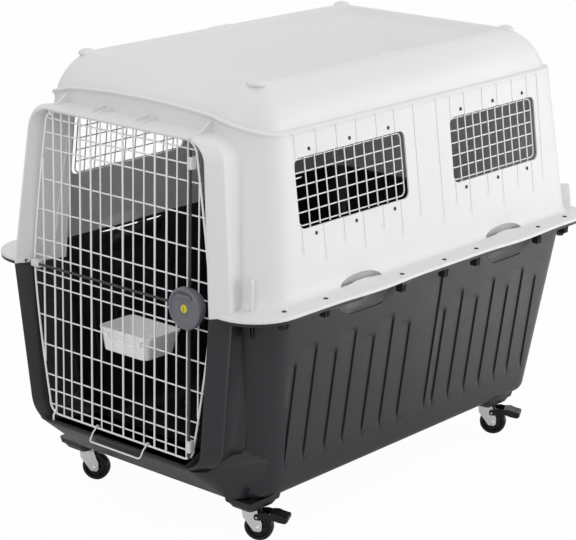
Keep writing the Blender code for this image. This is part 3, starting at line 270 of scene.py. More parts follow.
def finished(name, bm, slot, body, *nodes, sharp=35):
    """Turn a bmesh into a piece that rides on a body and stands for its CAD nodes."""
    bmesh.ops.remove_doubles(bm, verts=bm.verts, dist=0.00002)
    bmesh.ops.recalc_face_normals(bm, faces=bm.faces)
    mesh = bpy.data.meshes.new(name)
    bm.to_mesh(mesh)
    bm.free()
    mesh.materials.append(SLOTS[slot])
    mesh.shade_smooth()
    mesh.set_sharp_from_angle(angle=radians(sharp))
    piece = bpy.data.objects.new(name, mesh)
    bpy.context.scene.collection.objects.link(piece)
    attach(piece, body)
    if nodes:
        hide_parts(*nodes)
    print(name, len(mesh.polygons), "faces")
    return piece


def first_ring(bm, points):
    """A closed ring of vertices joined by edges."""
    made = bmesh.ops.create_circle(bm, segments=len(points), radius=1.0)["verts"]
    for vertex, point in zip(made, points):
        vertex.co = point
    return made


def ring_edges(bm, ring):
    """The edges that join a ring's vertices."""
    return [bm.edges.get(pair) for pair in zip(ring, ring[1:] + ring[:1])]


def next_ring(bm, ring, points):
    """Extrude a ring's edges and set the new vertices in place."""
    new = bmesh.ops.extrude_edge_only(bm, edges=ring_edges(bm, ring))["geom"]
    fresh = {item for item in new if isinstance(item, bmesh.types.BMVert)}
    grown = []
    for vertex, point in zip(ring, points):
        other = next(edge.other_vert(vertex) for edge in vertex.link_edges
                     if edge.other_vert(vertex) in fresh)
        other.co = point
        grown.append(other)
    return grown


def grow(bm, rings, close=""):
    """Grow a wall through rings of points; close may hold "first" and "last"."""
    first = ring = first_ring(bm, rings[0])
    if "first" in close:
        bm.faces.new(ring)
    for points in rings[1:]:
        ring = next_ring(bm, ring, points)
    if "last" in close:
        bm.faces.new(ring)
    return first, ring


def rounded(corners, radii, steps):
    """A polygon's corners turned into arcs."""
    points = []
    for index, corner in enumerate(corners):
        here = Vector(corner)
        radius = radii[index]
        if radius <= 0:
            points.append(here)
            continue
        before = (Vector(corners[index - 1]) - here).normalized()
        after = (Vector(corners[(index + 1) % len(corners)]) - here).normalized()
        half_angle = before.angle(after) / 2
        centre = here + (before + after).normalized() * (radius / sin(half_angle))
        reach = radius * cos(half_angle) / sin(half_angle)
        start = here + before * reach - centre
        end = here + after * reach - centre
        turn = start.angle(end)
        for step in range(steps + 1):
            share = step / steps
            points.append(centre + (start * sin((1 - share) * turn) + end * sin(share * turn)) / sin(turn))
    return points


# %% [markdown]
# ## Wires, blocks and turned parts
#
# A wire is a ring carried along a path. A block is a cube with rounded edges. A turned part is a
# profile spun right round, as on a lathe. All of them add to a bmesh that may hold more already.

# %% Helpers for wires, blocks and turned parts


def rectangle(left, right, low, high):
    """Four corners, counter-clockwise from the lower left."""
    return ((left, low), (right, low), (right, high), (left, high))


def tube(bm, path, radius, sides=10, closed=False):
    """A round wire along a path: a circle carried from point to point, mitred at each bend."""
    points = [Vector(point) for point in path]
    rings = []
    side = None
    for index, point in enumerate(points):
        before = points[index - 1] if index or closed else None
        after = points[(index + 1) % len(points)] if index < len(points) - 1 or closed else None
        arrive = (point - before).normalized() if before else (after - point).normalized()
        leave = (after - point).normalized() if after else arrive
        along = (arrive + leave).normalized()
        if side is None:
            side = along.orthogonal().normalized()
        side = (side - along * side.dot(along)).normalized()
        up = along.cross(side)
        stretch = 1 / max(0.5, along.dot(arrive))
        bend = leave - arrive
        bend = bend.normalized() if bend.length > 1e-6 else None
        ring = []
        for step in range(sides):
            arm = side * cos(2 * pi * step / sides) + up * sin(2 * pi * step / sides)
            if bend:
                arm += bend * arm.dot(bend) * (stretch - 1)
            ring.append(point + arm * radius)
        rings.append(ring)
    first, last = grow(bm, rings, "" if closed else "first last")
    if closed:
        bmesh.ops.bridge_loops(bm, edges=ring_edges(bm, last) + ring_edges(bm, first))


def block(bm, low, high, bevel=0.0, segments=2, matrix=None):
    """A box between two corners with its edges rounded."""
    size = Vector(high) - Vector(low)
    place = Matrix.Translation((Vector(low) + Vector(high)) / 2) @ Matrix.Diagonal((*size, 1.0))
    if matrix:
        place = matrix @ place
    made = bmesh.ops.create_cube(bm, size=1.0, matrix=place)["verts"]
    if bevel:
        edges = list(dict.fromkeys(edge for vertex in made for edge in vertex.link_edges))
        bmesh.ops.bevel(bm, geom=edges, offset=bevel, offset_type="OFFSET", segments=segments,
                        profile=0.5, affect="EDGES", clamp_overlap=True, material=-1)


def lathe(bm, profile, matrix, segments=48):
    """Spin a profile of radius and height round its own Z, then set it in place."""
    before = set(bm.verts)
    verts = [bm.verts.new((radius, 0.0, height)) for radius, height in profile]
    edges = [bm.edges.new(pair) for pair in zip(verts, verts[1:])]
    bmesh.ops.spin(bm, geom=verts + edges, cent=(0, 0, 0), axis=(0, 0, 1), angle=2 * pi,
                   steps=segments, use_merge=True)
    fresh = [vertex for vertex in bm.verts if vertex not in before]
    bmesh.ops.transform(bm, verts=fresh, matrix=matrix)


# %% [markdown]
# ## Cutting
#
# Openings are cut with hidden solids and exact Booleans. The result becomes the piece's mesh and the
# solids are thrown away.

# %% Helpers for modifiers and cuts


def modifier(piece, kind, **settings):
    """Add a modifier with its settings."""
    made = piece.modifiers.new(kind.lower(), kind)
    for key, value in settings.items():
        setattr(made, key, value)
    return made


def cutter(name, bm):
    """A hidden solid for Booleans, its caps split into triangles because some are not flat."""
    bmesh.ops.recalc_face_normals(bm, faces=bm.faces)
    bmesh.ops.triangulate(bm, faces=[face for face in bm.faces if len(face.verts) > 4])
    mesh = bpy.data.meshes.new(name)
    bm.to_mesh(mesh)
    bm.free()
    tool = bpy.data.objects.new(name, mesh)
    bpy.context.scene.collection.objects.link(tool)
    tool.hide_render = True
    tool.hide_viewport = True
    return tool


def cut(piece, *tools):
    """Cut hidden solids out of a piece and keep the result as its mesh."""
    for tool in tools:
        modifier(piece, "BOOLEAN", operation="DIFFERENCE", object=tool, solver="EXACT")
    graph = bpy.context.evaluated_depsgraph_get()
    graph.update()
    mesh = bpy.data.meshes.new_from_object(piece.evaluated_get(graph))
    piece.modifiers.clear()
    piece.data = mesh
    mesh.shade_smooth()
    mesh.set_sharp_from_angle(angle=radians(35))
    for tool in tools:
        bpy.data.objects.remove(tool)
    print(piece.name, "cut:", len(mesh.polygons), "faces")

# %% [markdown]
# ## The plan of the shells
#
# Seen from above, every level of a shell is a rectangle with round corners. Its points are named by
# where they sit: a place along a side, an angle round a corner, a place across an end. A point
# keeps its name from level to level, so the columns of the wall run straight up, and a crease can be
# pressed exactly where a column stands.

# %% Sizes and stations of the shells
SIDES = ((1, "right"), (-1, "left"))
SEAM = 0.5195
ROOF_FOOT = SEAM + 0.0002
BASE_TOP = SEAM - 0.0003
WALL = 0.0035
HALF_WIDTH = 0.3430
FRONT = -0.497
REAR = 0.540
BASE_REAR = 0.529
FRONT_RADIUS = 0.085
REAR_RADIUS = 0.048
REAR_SPAN = 0.245        # the stations of the rear lie within this much of the middle
ROOF_SIDE_LEAN = 0.13
ROOF_FRONT_LEAN = 0.0825
ROOF_REAR_LEAN = 0.07
BASE_SIDE_LEAN = 0.144
BASE_FRONT_LEAN = 0.100
BASE_REAR_LEAN = 0.105
SHOULDER = 0.848
FLOOR = 0.100
FLANGE_HALF = 0.3925
FLANGE_FRONT = -0.558
FLANGE_REAR = 0.5705
FLANGE_RADIUS = 0.095
FLANGE_THICKNESS = 0.0065
GRIP_CENTRES = (-0.200, 0.2805)
GRIPS = [(side, centre, word + "_" + end) for side, word in SIDES
         for centre, end in zip(GRIP_CENTRES, ("front", "rear"))]
GRIP_HALF_LENGTH = 0.070
GRIP_DEPTH = 0.015
ROOF_GRIP_HEIGHT = 0.026
THUMB_FACE = 0.3478
BASE_GRIP_SHIFT = 0.023
BASE_GRIP_HALF = 0.099
BASE_GRIP_LOW = 0.4590
BASE_GRIP_MOUTH = 0.3400
BASE_GRIP_BACK = 0.3322
SWELL = 0.0064           # how far the flange stands out at a grip, and over what length
SWELL_HALF = GRIP_HALF_LENGTH * 2.08
SIDE_START = -0.385
SIDE_END = 0.460


def ramp(value, low, high):
    """A smooth step from 0 at low to 1 at high."""
    share = min(1.0, max(0.0, (value - low) / (high - low)))
    return share * share * (3 - 2 * share)


def around(side_marks, rear_marks):
    """Names of the points round a shell, counter-clockwise from the front of the right side."""
    ends = [step / 14 - 1 for step in range(1, 28)]
    quarter = [90 * step / 10 for step in range(11)]
    names = [("side", 1, y) for y in side_marks]
    names += [("corner", (1, 1), angle) for angle in quarter]
    names += [("rear", 0, x) for x in reversed(rear_marks)]
    names += [("corner", (-1, 1), 90 + angle) for angle in quarter]
    names += [("side", -1, y) for y in reversed(side_marks)]
    names += [("corner", (-1, -1), 180 + angle) for angle in quarter]
    names += [("front", 0, share) for share in ends]
    names += [("corner", (1, -1), 270 + angle) for angle in quarter]
    return names


def level(names, z, half, front, rear, front_radius, rear_radius, slide=False, lift=None, press=None,
          pressure=1.0):
    """One level of a shell. slide lets the side points shift along; lift raises and press dents them."""
    ring = []
    low = front + front_radius
    high = rear - rear_radius
    for kind, side, value in names:
        if kind == "side":
            y = min(max(value, low + 0.0005), high - 0.0005)
            if slide:
                share = (value - SIDE_START) / (SIDE_END - SIDE_START)
                y = low + min(0.998, max(0.002, share)) * (high - low)
            proud = pressure * press(kind, side, value, z) if press else 0.0
            spot = (side * (half + proud), y)
        elif kind == "rear":
            proud = pressure * press(kind, side, value, z) if press else 0.0
            spot = (value * min(1.0, (half - rear_radius) / REAR_SPAN), rear + proud)
        elif kind == "front":
            spot = (value * (half - front_radius), front)
        else:
            radius = rear_radius if side[1] > 0 else front_radius
            along = high if side[1] > 0 else low
            spot = (side[0] * (half - radius) + radius * cos(radians(value)),
                    along + radius * sin(radians(value)))
        ring.append((*spot, z + (lift(kind, side, value, spot[1]) if lift else 0.0)))
    return ring


def flange_level(names, z, inset):
    """A level of the flange, inset from its edge and swollen at the hand grips."""
    ring = level(names, z, FLANGE_HALF - inset, FLANGE_FRONT + inset, FLANGE_REAR - inset,
                 FLANGE_RADIUS - inset, FLANGE_RADIUS - inset)
    for index, (kind, side, _) in enumerate(names):
        x, y, z = ring[index]
        for centre in GRIP_CENTRES if kind == "side" else ():
            reach = abs(y - centre) / SWELL_HALF
            if reach < 1:
                ring[index] = (x + side * SWELL * (0.5 + 0.5 * cos(pi * reach)), y, z)
    return ring


def marks(edges, near, between):
    """Places along a wall: a few close to each crease and one between creases."""
    places = []
    for index, edge in enumerate(edges):
        places += [edge + offset for offset in near]
        if index + 1 < len(edges) and edges[index + 1] - edge > between:
            places.append(edge + (edges[index + 1] - edge) * 0.28)
    return places


# %% [markdown]
# ## The roof shell
#
# The roof is one moulding: a flange, a leaning wall with shallow upright creases that stiffen it, a
# lip that arches over the door like a brow, a dome, and a tray sunk in the top. Growing it level by
# level keeps every column straight, so a crease is only a few columns pushed in or out. The wall is
# grown as one closed skin, down the inside and up the outside, and Booleans then open the windows
# and the doorway.

# %% Creases and levels of the roof
ROOF_CREASES = (-0.364, -0.300, -0.239, -0.179, -0.117, -0.060, 0.003, 0.078, 0.125, 0.1735,
                0.237, 0.290, 0.345, 0.399, 0.438)
CREASE_ENDS = (0.612, 0.586)
CREASE_DEPTH = 0.0013
CREASE_REACH = 0.030
BROW_RISE = 0.043
BROW_SAG = 0.25
DOME_HEIGHT = 0.0925
DOME_SEAT = 0.0055
DOME_START = 0.009
DOME_REACH = 0.0565
ARCH_FADE = 0.078
RIM_RADIUS = 0.030
TRAY_STEPS = (           # height over the shoulder and inset, from the rim down to the tray floor
    (0.0930, 0.0690), (0.0926, 0.0716), (0.0912, 0.0730), (0.0866, 0.0750), (0.0850, 0.0758),
    (0.0845, 0.0775), (0.0845, 0.0885), (0.0843, 0.0897), (0.0829, 0.0915), (0.0825, 0.0932))


def roof_crease(kind, side, y, z):
    """How far the roof wall is pressed in at a point: slowly towards a crease, and back at once."""
    if kind != "side" or z > SHOULDER - 0.004:
        return 0.0
    for index, edge in enumerate(ROOF_CREASES):
        end = CREASE_ENDS[index % 2]
        if edge - CREASE_REACH < y <= edge + 0.00001:
            share = (y - edge + CREASE_REACH) / CREASE_REACH
            return -CREASE_DEPTH * ramp(z, end - 0.006, end + 0.018) * share
    return 0.0


def brow(rise):
    """The lip over the door: a flat arch that runs down round both front corners."""
    def lift(kind, side, value, y):
        if kind == "front":
            return rise * (1 - BROW_SAG * value * value)
        if kind == "corner" and side[1] < 0:
            turned = (value - 270) / 90 if side[0] > 0 else (270 - value) / 90
            return rise * (1 - BROW_SAG) * (1 - ramp(turned, -0.25, 1.05))
        return 0.0
    return lift


def thumb(rise):
    """The low wave of the flange in front of each grip."""
    def lift(kind, side, value, y):
        for centre in GRIP_CENTRES:
            reach = abs(y - centre + 0.010) / 0.075
            if kind == "side" and reach < 1:
                return rise * (0.5 + 0.5 * cos(pi * reach))
        return 0.0
    return lift


def roof_wall(names, z, out=0.0, rise=0.0, lip=0.0, wave=0.0):
    """A level of the roof's wall; a negative out gives the inside, where creases hardly show."""
    drop = z - SEAM
    return level(names, z, HALF_WIDTH - ROOF_SIDE_LEAN * drop + out,
                 FRONT + ROOF_FRONT_LEAN * drop - out - lip, REAR - ROOF_REAR_LEAN * drop + out,
                 FRONT_RADIUS + out, REAR_RADIUS + out, lift=thumb(wave) if wave else brow(rise),
                 press=roof_crease, pressure=0.3 if out <= -WALL else 1.0)


def roof_dome(names, height, inset):
    """A level of the dome or the tray, by its height over the shoulder and its inset."""
    beyond = inset - DOME_START
    share = min(1.0, beyond / DOME_REACH)
    drop = SHOULDER - SEAM
    return level(names, SHOULDER + height, HALF_WIDTH - ROOF_SIDE_LEAN * drop - inset,
                 FRONT + ROOF_FRONT_LEAN * drop - 0.004 + beyond * 1.38,
                 REAR - ROOF_REAR_LEAN * drop - DOME_START - beyond * 1.75,
                 FRONT_RADIUS + (RIM_RADIUS - FRONT_RADIUS) * share,
                 REAR_RADIUS + (RIM_RADIUS - REAR_RADIUS) * share, slide=True,
                 lift=brow(BROW_RISE * max(0.0, 1 - height / ARCH_FADE)))


roof_names = around(marks(ROOF_CREASES, (-CREASE_REACH, -0.014, 0.0, 0.0011, 0.0040), 0.040),
                    [REAR_SPAN * step / 12 for step in range(-12, 13)])
dome_turns = [radians(90 * step / 14) for step in range(15)]
dome_marks = [(DOME_SEAT + (DOME_HEIGHT - DOME_SEAT) * sin(turn),
               DOME_START + DOME_REACH * (1 - cos(turn)) ** 0.75) for turn in dome_turns]
roof_rings = [roof_dome(roof_names, 0.0785, 0.0490)]
roof_rings += [roof_dome(roof_names, height - WALL, inset + 0.003) for height, inset in dome_marks[7::-1]]
roof_rings += [roof_wall(roof_names, SHOULDER - 0.010, -WALL, BROW_RISE)]
roof_rings += [roof_wall(roof_names, z, -WALL) for z in (0.790, 0.630, 0.575, ROOF_FOOT)]
roof_rings += [flange_level(roof_names, SEAM + height, inset) for height, inset in (
    (0.0002, 0.0), (0.0050, 0.0), (0.0062, 0.0006), (0.0065, 0.0020))]
roof_rings += [roof_wall(roof_names, SEAM + height, out, wave=wave) for height, out, wave in (
    (0.0067, 0.0300, 0.0008), (0.0068, 0.0170, 0.0035), (0.0072, 0.0105, 0.0058),
    (0.0078, 0.0070, 0.0066), (0.0080, 0.0060, 0.0060), (0.0088, 0.0050, 0.0012),
    (0.0110, 0.0038, 0.0), (0.0150, 0.0020, 0.0), (0.0210, 0.0, 0.0))]
roof_rings += [roof_wall(roof_names, z) for z in (
    0.560, 0.575, 0.582, 0.588, 0.594, 0.600, 0.606, 0.612, 0.620, 0.630, 0.655, 0.700, 0.750, 0.790)]
roof_rings += [roof_wall(roof_names, SHOULDER + height, out, BROW_RISE, lip) for height, out, lip in (
    (-0.0300, 0.0, 0.0), (-0.0110, 0.0, 0.0004), (-0.0070, 0.0002, 0.0018), (-0.0040, 0.0006, 0.0042),
    (-0.0016, 0.0011, 0.0066), (0.0004, 0.0014, 0.0078), (0.0022, 0.0011, 0.0080), (0.0036, 0.0, 0.0072),
    (0.0048, -0.0040, 0.0055))]
roof_rings += [roof_dome(roof_names, height, inset) for height, inset in (*dome_marks, *TRAY_STEPS)]
roof_mesh = bmesh.new()
grow(roof_mesh, roof_rings, "first last")
roof_skin = finished("roof_skin", roof_mesh, "roof_plastic", "crate", "roof_shell")

# %% [markdown]
# ## Openings in the roof
#
# The windows and the doorway are cut with plain solids that stand a little outside the wall on both
# sides. The hand grips are cut with a flattened ball, and the same ball, a wall thicker, makes the
# pocket behind each hole.

# %% Cut the roof
WINDOWS = ((-0.367, -0.030), (0.122, 0.424))
WINDOW_TOP = 0.7985
WINDOW_BOTTOM = 0.6610
WINDOW_RADIUS = 0.015
HOOP_HALF = 0.2765
HOOP_UPPER_LEAN = 0.104
HOOP_LOWER_LEAN = 0.110
HOOP_FRONT = -0.5705
HOOP_UPPER_TILT = 0.077
HOOP_LOWER_TILT = 0.026
HOOP_ROOT = -0.455
HOOP_FLARE = 0.39
HOOP_TOP = 0.853
HOOP_BOTTOM = 0.190
HOOP_RADIUS = 0.052
HOOP_WALL = 0.004
BASE_DOORWAY = (HOOP_BOTTOM + 0.005, SEAM + 0.002)
CUP_GAP = 0.0003         # how much a grip's cup is larger than its hole
CUP_SET_IN = 0.0012      # how far its rim stands behind the wall's face


def window_tool(ends):
    """A rounded bar through both side walls."""
    outline = rounded(rectangle(*ends, WINDOW_BOTTOM, WINDOW_TOP), [WINDOW_RADIUS] * 4, 8)
    bm = bmesh.new()
    grow(bm, [[(x, y, z) for y, z in outline] for x in (-0.5, 0.5)], "first last")
    return cutter("window tool", bm)


def hoop_half(z):
    """Half width of the hoop, which narrows above and below the seam."""
    lean = HOOP_UPPER_LEAN * (z - SEAM) if z > SEAM else HOOP_LOWER_LEAN * (SEAM - z)
    return HOOP_HALF - lean


def hoop_front(z):
    """Where the hoop's front edge stands; both halves lean back from the seam."""
    return HOOP_FRONT + (HOOP_UPPER_TILT * (z - SEAM) if z > SEAM else HOOP_LOWER_TILT * (SEAM - z))


def hoop_outline(edge, start, ahead, inset, depth, bulge=0.0):
    """Half of the hoop in slanted section; depth 0 is the front edge and 1 the root."""
    points = []
    flare = HOOP_FLARE * (ahead + (HOOP_FRONT - ahead - HOOP_ROOT) * depth) + bulge
    corners = ((hoop_half(start) + flare - inset, start), (hoop_half(edge) + flare - inset, edge),
               (-hoop_half(edge) - flare + inset, edge), (-hoop_half(start) - flare + inset, start))
    for x, z in rounded(corners, (0.0, HOOP_RADIUS - inset, HOOP_RADIUS - inset, 0.0), 12):
        front = hoop_front(z) - ahead
        points.append((x, front + (HOOP_ROOT - front) * depth, z))
    return points


def doorway_tool(edge, start):
    """The solid inside half of the hoop, longer than the hoop at both ends."""
    bm = bmesh.new()
    grow(bm, [hoop_outline(edge, start, 0.03, HOOP_WALL, depth) for depth in (0.0, 1.0)], "first last")
    return cutter("doorway tool", bm)


def grip_ball(bm, side, centre, grow_by):
    """A flattened ball sunk in the roof's wall at a hand grip."""
    size = (GRIP_DEPTH, GRIP_HALF_LENGTH, ROOF_GRIP_HEIGHT)
    scale = Matrix.Diagonal((*[half + grow_by for half in size], 1.0))
    matrix = Matrix.Translation((side * HALF_WIDTH, centre - 0.008, SEAM)) @ scale
    bmesh.ops.create_uvsphere(bm, u_segments=40, v_segments=20, radius=1.0, matrix=matrix)


def slice_off(bm, fill, *planes):
    """Take away what lies beyond each plane; fill closes the cut."""
    for spot, normal in planes:
        geometry = bm.verts[:] + bm.edges[:] + bm.faces[:]
        made = bmesh.ops.bisect_plane(bm, geom=geometry, plane_co=spot, plane_no=normal, clear_outer=True)
        rim = [item for item in made["geom_cut"] if isinstance(item, bmesh.types.BMEdge)]
        if fill and rim:
            bmesh.ops.holes_fill(bm, edges=rim)


def roof_grip_tool():
    """The balls of all four roof grips, sliced flat at the flange and behind the wave."""
    bm = bmesh.new()
    for side, centre, _ in GRIPS:
        grip_ball(bm, side, centre, 0.0)
    slice_off(bm, True, ((0, 0, SEAM + FLANGE_THICKNESS + 0.0004), (0, 0, -1)),
              ((THUMB_FACE, 0, 0), (1, 0, 0)), ((-THUMB_FACE, 0, 0), (-1, 0, 0)))
    return cutter("roof grip tool", bm)


def cup(name, bm, slot, opening):
    """A moulded cup made from its inner surface, which must face its opening."""
    piece = finished(name, bm, slot, "crate")
    inside = piece.data.polygons[0]
    if inside.normal.dot(Vector(opening) - inside.center) < 0:
        piece.data.flip_normals()
    modifier(piece, "SOLIDIFY", thickness=0.0025, offset=-1.0)


cut(roof_skin, window_tool(WINDOWS[0]), window_tool(WINDOWS[1]),
    doorway_tool(HOOP_TOP - HOOP_WALL, SEAM - 0.002), roof_grip_tool())
for side, centre, label in GRIPS:
    cup_mesh = bmesh.new()
    grip_ball(cup_mesh, side, centre, CUP_GAP)
    slice_off(cup_mesh, False, ((0, 0, SEAM + 0.0035), (0, 0, -1)),
              ((side * (HALF_WIDTH - CUP_SET_IN), 0, SEAM), (side, 0, ROOF_SIDE_LEAN)))
    cup("roof_grip_" + label, cup_mesh, "roof_plastic", (side * HALF_WIDTH, centre, SEAM))

# %% [markdown]
# ## The base shell
#
# The base is a tub whose walls lean out as they rise. Its stiffening pleats are saw teeth: the wall
# sinks slowly and steps out again at once, which leaves a dark line. Each tooth starts and ends
# softly, with a rounded shoulder, because a sharp one would tear when the moulding shrinks. On the
# rear wall the teeth stand out instead. Inside and outside move together, so the wall keeps its
# thickness.

# %% Pleats and levels of the base
PLEAT_FOOT = 0.180
PLEAT_HIGH = 0.430
PLEAT_LOW = 0.401
PLEAT_DEPTH = 0.0030
PLEAT_GROOVE = 0.4
PLEAT_WIDTH = 0.046
SIDE_PLEATS = (
    (-0.376, PLEAT_LOW), (-0.318, PLEAT_HIGH), (-0.253, PLEAT_LOW), (-0.197, PLEAT_HIGH),
    (-0.134, PLEAT_LOW), (-0.076, PLEAT_HIGH), (-0.017, PLEAT_LOW), (0.076, SEAM - 0.03),
    (0.104, PLEAT_LOW), (0.160, PLEAT_HIGH), (0.218, PLEAT_LOW), (0.273, PLEAT_HIGH),
    (0.330, PLEAT_LOW), (0.380, PLEAT_HIGH), (0.434, PLEAT_LOW))
REAR_PLEATS = tuple(
    (0.068 * (index - 3) + 0.023, PLEAT_LOW if index % 2 else PLEAT_HIGH) for index in range(7))


def pleat(kind, side, along, z):
    """How proud of the base wall a point stands; less than nothing is pressed in."""
    previous = -1.0
    for edge, top in (SIDE_PLEATS if kind == "side" else REAR_PLEATS):
        start = max(edge - PLEAT_WIDTH, previous + 0.004)
        back = edge - along
        shoulder = top - 0.011 * max(0.0, 1 - back / 0.010) ** 2
        fade = ramp(z, PLEAT_FOOT - 0.020, PLEAT_FOOT + 0.016) * ramp(shoulder - z, 0.0, 0.005)
        if start < along <= edge + 0.00001:
            share = (along - start) / (edge - start) + (PLEAT_GROOVE if back < 0.0020 else 0.0)
            return PLEAT_DEPTH * fade * share * (-1 if kind == "side" else 1)
        previous = edge
    return 0.0


def base_wall(names, z, inset=0.0):
    """A level of the base's wall."""
    drop = SEAM - z
    return level(names, z, HALF_WIDTH - BASE_SIDE_LEAN * drop - inset,
                 FRONT + BASE_FRONT_LEAN * drop + inset, BASE_REAR - BASE_REAR_LEAN * drop - inset,
                 FRONT_RADIUS - inset, REAR_RADIUS - inset, press=pleat)


near_edge = (-0.012, -0.0030, -0.0016, 0.0, 0.0010)
base_names = around(marks([edge for edge, top in SIDE_PLEATS], near_edge, 0.032),
                    marks([edge for edge, top in REAR_PLEATS], near_edge, 0.032))
WALL_LEVELS = (
    0.494, 0.489, 0.484, 0.470, 0.445, 0.432, 0.429, 0.426, 0.423, 0.420, 0.415, 0.408, 0.403, 0.400, 0.397,
    0.394, 0.391, 0.385, 0.370, 0.330, 0.290, 0.250, 0.215, 0.200, 0.192, 0.184, 0.176, 0.168, 0.160,
    0.150, 0.135)
base_rings = [base_wall(base_names, FLOOR + WALL + height, WALL + inset) for height, inset in (
    (0.0, 0.0220), (0.0030, 0.0100), (0.0120, 0.0018))]
base_rings += [base_wall(base_names, z, WALL) for z in (*WALL_LEVELS[::-1], BASE_TOP)]
base_rings += [flange_level(base_names, BASE_TOP - depth, inset) for depth, inset in (
    (0.0, 0.0015), (0.0006, 0.0006), (0.0056, 0.0006), (0.0065, 0.0020))]
base_rings += [base_wall(base_names, BASE_TOP - depth, inset) for depth, inset in (
    (0.0066, -0.0060), (0.0080, -0.0025), (0.0110, -0.0008), (0.0160, 0.0))]
base_rings += [base_wall(base_names, z) for z in WALL_LEVELS + (0.124,)]
base_rings += [base_wall(base_names, FLOOR + height, inset) for height, inset in (
    (0.0180, 0.0003), (0.0120, 0.0018), (0.0070, 0.0050), (0.0030, 0.0100), (0.0008, 0.0160),
    (0.0, 0.0220))]
base_mesh = bmesh.new()
grow(base_mesh, base_rings, "first last")
base_skin = finished("base_skin", base_mesh, "base_plastic", "crate", "base_shell")


# %% [markdown]
# ## Openings in the base
#
# The doorway is cut with the solid that fits the lower half of the hoop. The hand grips are upright
# scoops, cut with a tapered solid, and a cup behind each closes it. Gaps in the flange above them let
# the fingers reach the flange of the roof.

# %% Cut the base
GAP_INNER, GAP_OUTER = 0.349, 0.42
GAP_HALF_LENGTH = 0.062


def base_grip_ring(side, centre, x, spread, grow_by=0.0):
    """A level of a base grip's scoop, seen from the side; spread 1 is its mouth and 0 its back."""
    half = BASE_GRIP_HALF - 0.024 * (1 - spread) + grow_by
    low = BASE_GRIP_LOW + 0.0015 * (1 - spread) - grow_by
    middle = centre + BASE_GRIP_SHIFT
    corners = rectangle(middle - half, middle + half, low, SEAM - 0.0066)
    return [(side * x, y, z) for y, z in rounded(corners, (0.044, 0.044, 0, 0), 12)]


def base_grip_tool():
    """The scoops of all four base grips: upright backs in a leaning wall."""
    bm = bmesh.new()
    for side, centre, _ in GRIPS:
        grow(bm, [base_grip_ring(side, centre, x, spread) for x, spread in (
            (0.3485, 1.0), (BASE_GRIP_MOUTH, 1.0), (BASE_GRIP_BACK, 0.0))], "first last")
    return cutter("base grip tool", bm)


def finger_gap_tool():
    """Gaps in the base flange, so that fingers reach the flange of the roof."""
    bm = bmesh.new()
    for side, centre, _ in GRIPS:
        near, far = sorted((side * GAP_INNER, side * GAP_OUTER))
        block(bm, (near, centre - GAP_HALF_LENGTH, 0.50), (far, centre + GAP_HALF_LENGTH, SEAM + 0.002))
    return cutter("finger gap tool", bm)


cut(base_skin, doorway_tool(*BASE_DOORWAY), finger_gap_tool(), base_grip_tool())
for side, centre, label in GRIPS:
    cup_mesh = bmesh.new()
    grow(cup_mesh, [base_grip_ring(side, centre, BASE_GRIP_MOUTH, 1.0, CUP_GAP),
                    base_grip_ring(side, centre, BASE_GRIP_BACK - 0.0001, 0.0, CUP_GAP)], "last")
    slice_off(cup_mesh, False, ((side * (HALF_WIDTH - CUP_SET_IN), 0, SEAM), (side, 0, -BASE_SIDE_LEAN)),
              ((0, 0, SEAM - 0.0070), (0, 0, 1)))
    cup("base_grip_" + label, cup_mesh, "base_plastic", (side * 0.4, centre, SEAM - 0.02))

# %% [markdown]
# ## The hoop round the doorway
#
# A collar stands out of the front wall and frames the door, half of it on each shell. Its rim is
# chamfered outwards to a bead, and behind the bead the sides fall back to the wall in a valley.
# The collar is grown as a closed skin: from the wall out over the bead, round the rim, and back
# along the inside. A Bevel modifier then rounds the rim, where the eye rests.

# %% Hoop halves
BEAD = (                 # depth as a share of the hoop, and how far the outside stands out there
    (0.96, 0.0640), (0.86, 0.0520), (0.74, 0.0440), (0.60, 0.0400), (0.48, 0.0375),
    (0.40, 0.0372), (0.355, 0.0378), (0.325, 0.0380), (0.295, 0.0374), (0.265, 0.0352),
    (0.23, 0.0312), (0.11, 0.0150), (0.0, 0.0))


def hoop_piece(name, edge, start, slot, floor_wall):
    """One half of the hoop as a closed skin, with its rim rounded."""
    bm = bmesh.new()
    outside = [hoop_outline(edge, start, 0.0, 0.0, depth, bulge) for depth, bulge in BEAD]
    inner = hoop_outline(edge, start, 0.0, HOOP_WALL, 0.0)
    inner_root = hoop_outline(edge, start, 0.0, HOOP_WALL, 0.9)
    step = floor_wall if edge < SEAM else -floor_wall
    for ring in (inner, inner_root):
        for index, (x, y, z) in enumerate(ring):
            near = ramp(abs(z - edge), 0.0, HOOP_RADIUS)
            ring[index] = (x, y, z + step * (1 - near))
    count = len(inner)
    made = [[bm.verts.new(point) for point in ring] for ring in outside + [inner, inner_root]]
    for index in range(count - 1):
        for a, b in zip(made, made[1:] + made[:1]):
            bm.faces.new((a[index], a[index + 1], b[index + 1], b[index]))
    for index in (0, count - 1):
        bm.faces.new([ring[index] for ring in made])
    piece = finished(name, bm, slot, "crate")
    modifier(piece, "BEVEL", width=0.0014, segments=3, limit_method="ANGLE", angle_limit=radians(40),
             use_clamp_overlap=True)
    return piece


roof_hoop = hoop_piece("roof_hoop", HOOP_TOP, ROOF_FOOT, "roof_plastic", HOOP_WALL)
base_hoop = hoop_piece("base_hoop", HOOP_BOTTOM, BASE_TOP, "base_plastic", 0.005)

# %% [markdown]
# ## Chin and sill
#
# Below the doorway a sloping chin joins the hoop to the floor. Its sides just touch the round corner
# columns of the shell, and from the foot of the hoop up it falls back into the wall. A thick bar on its
# edge carries the bail.

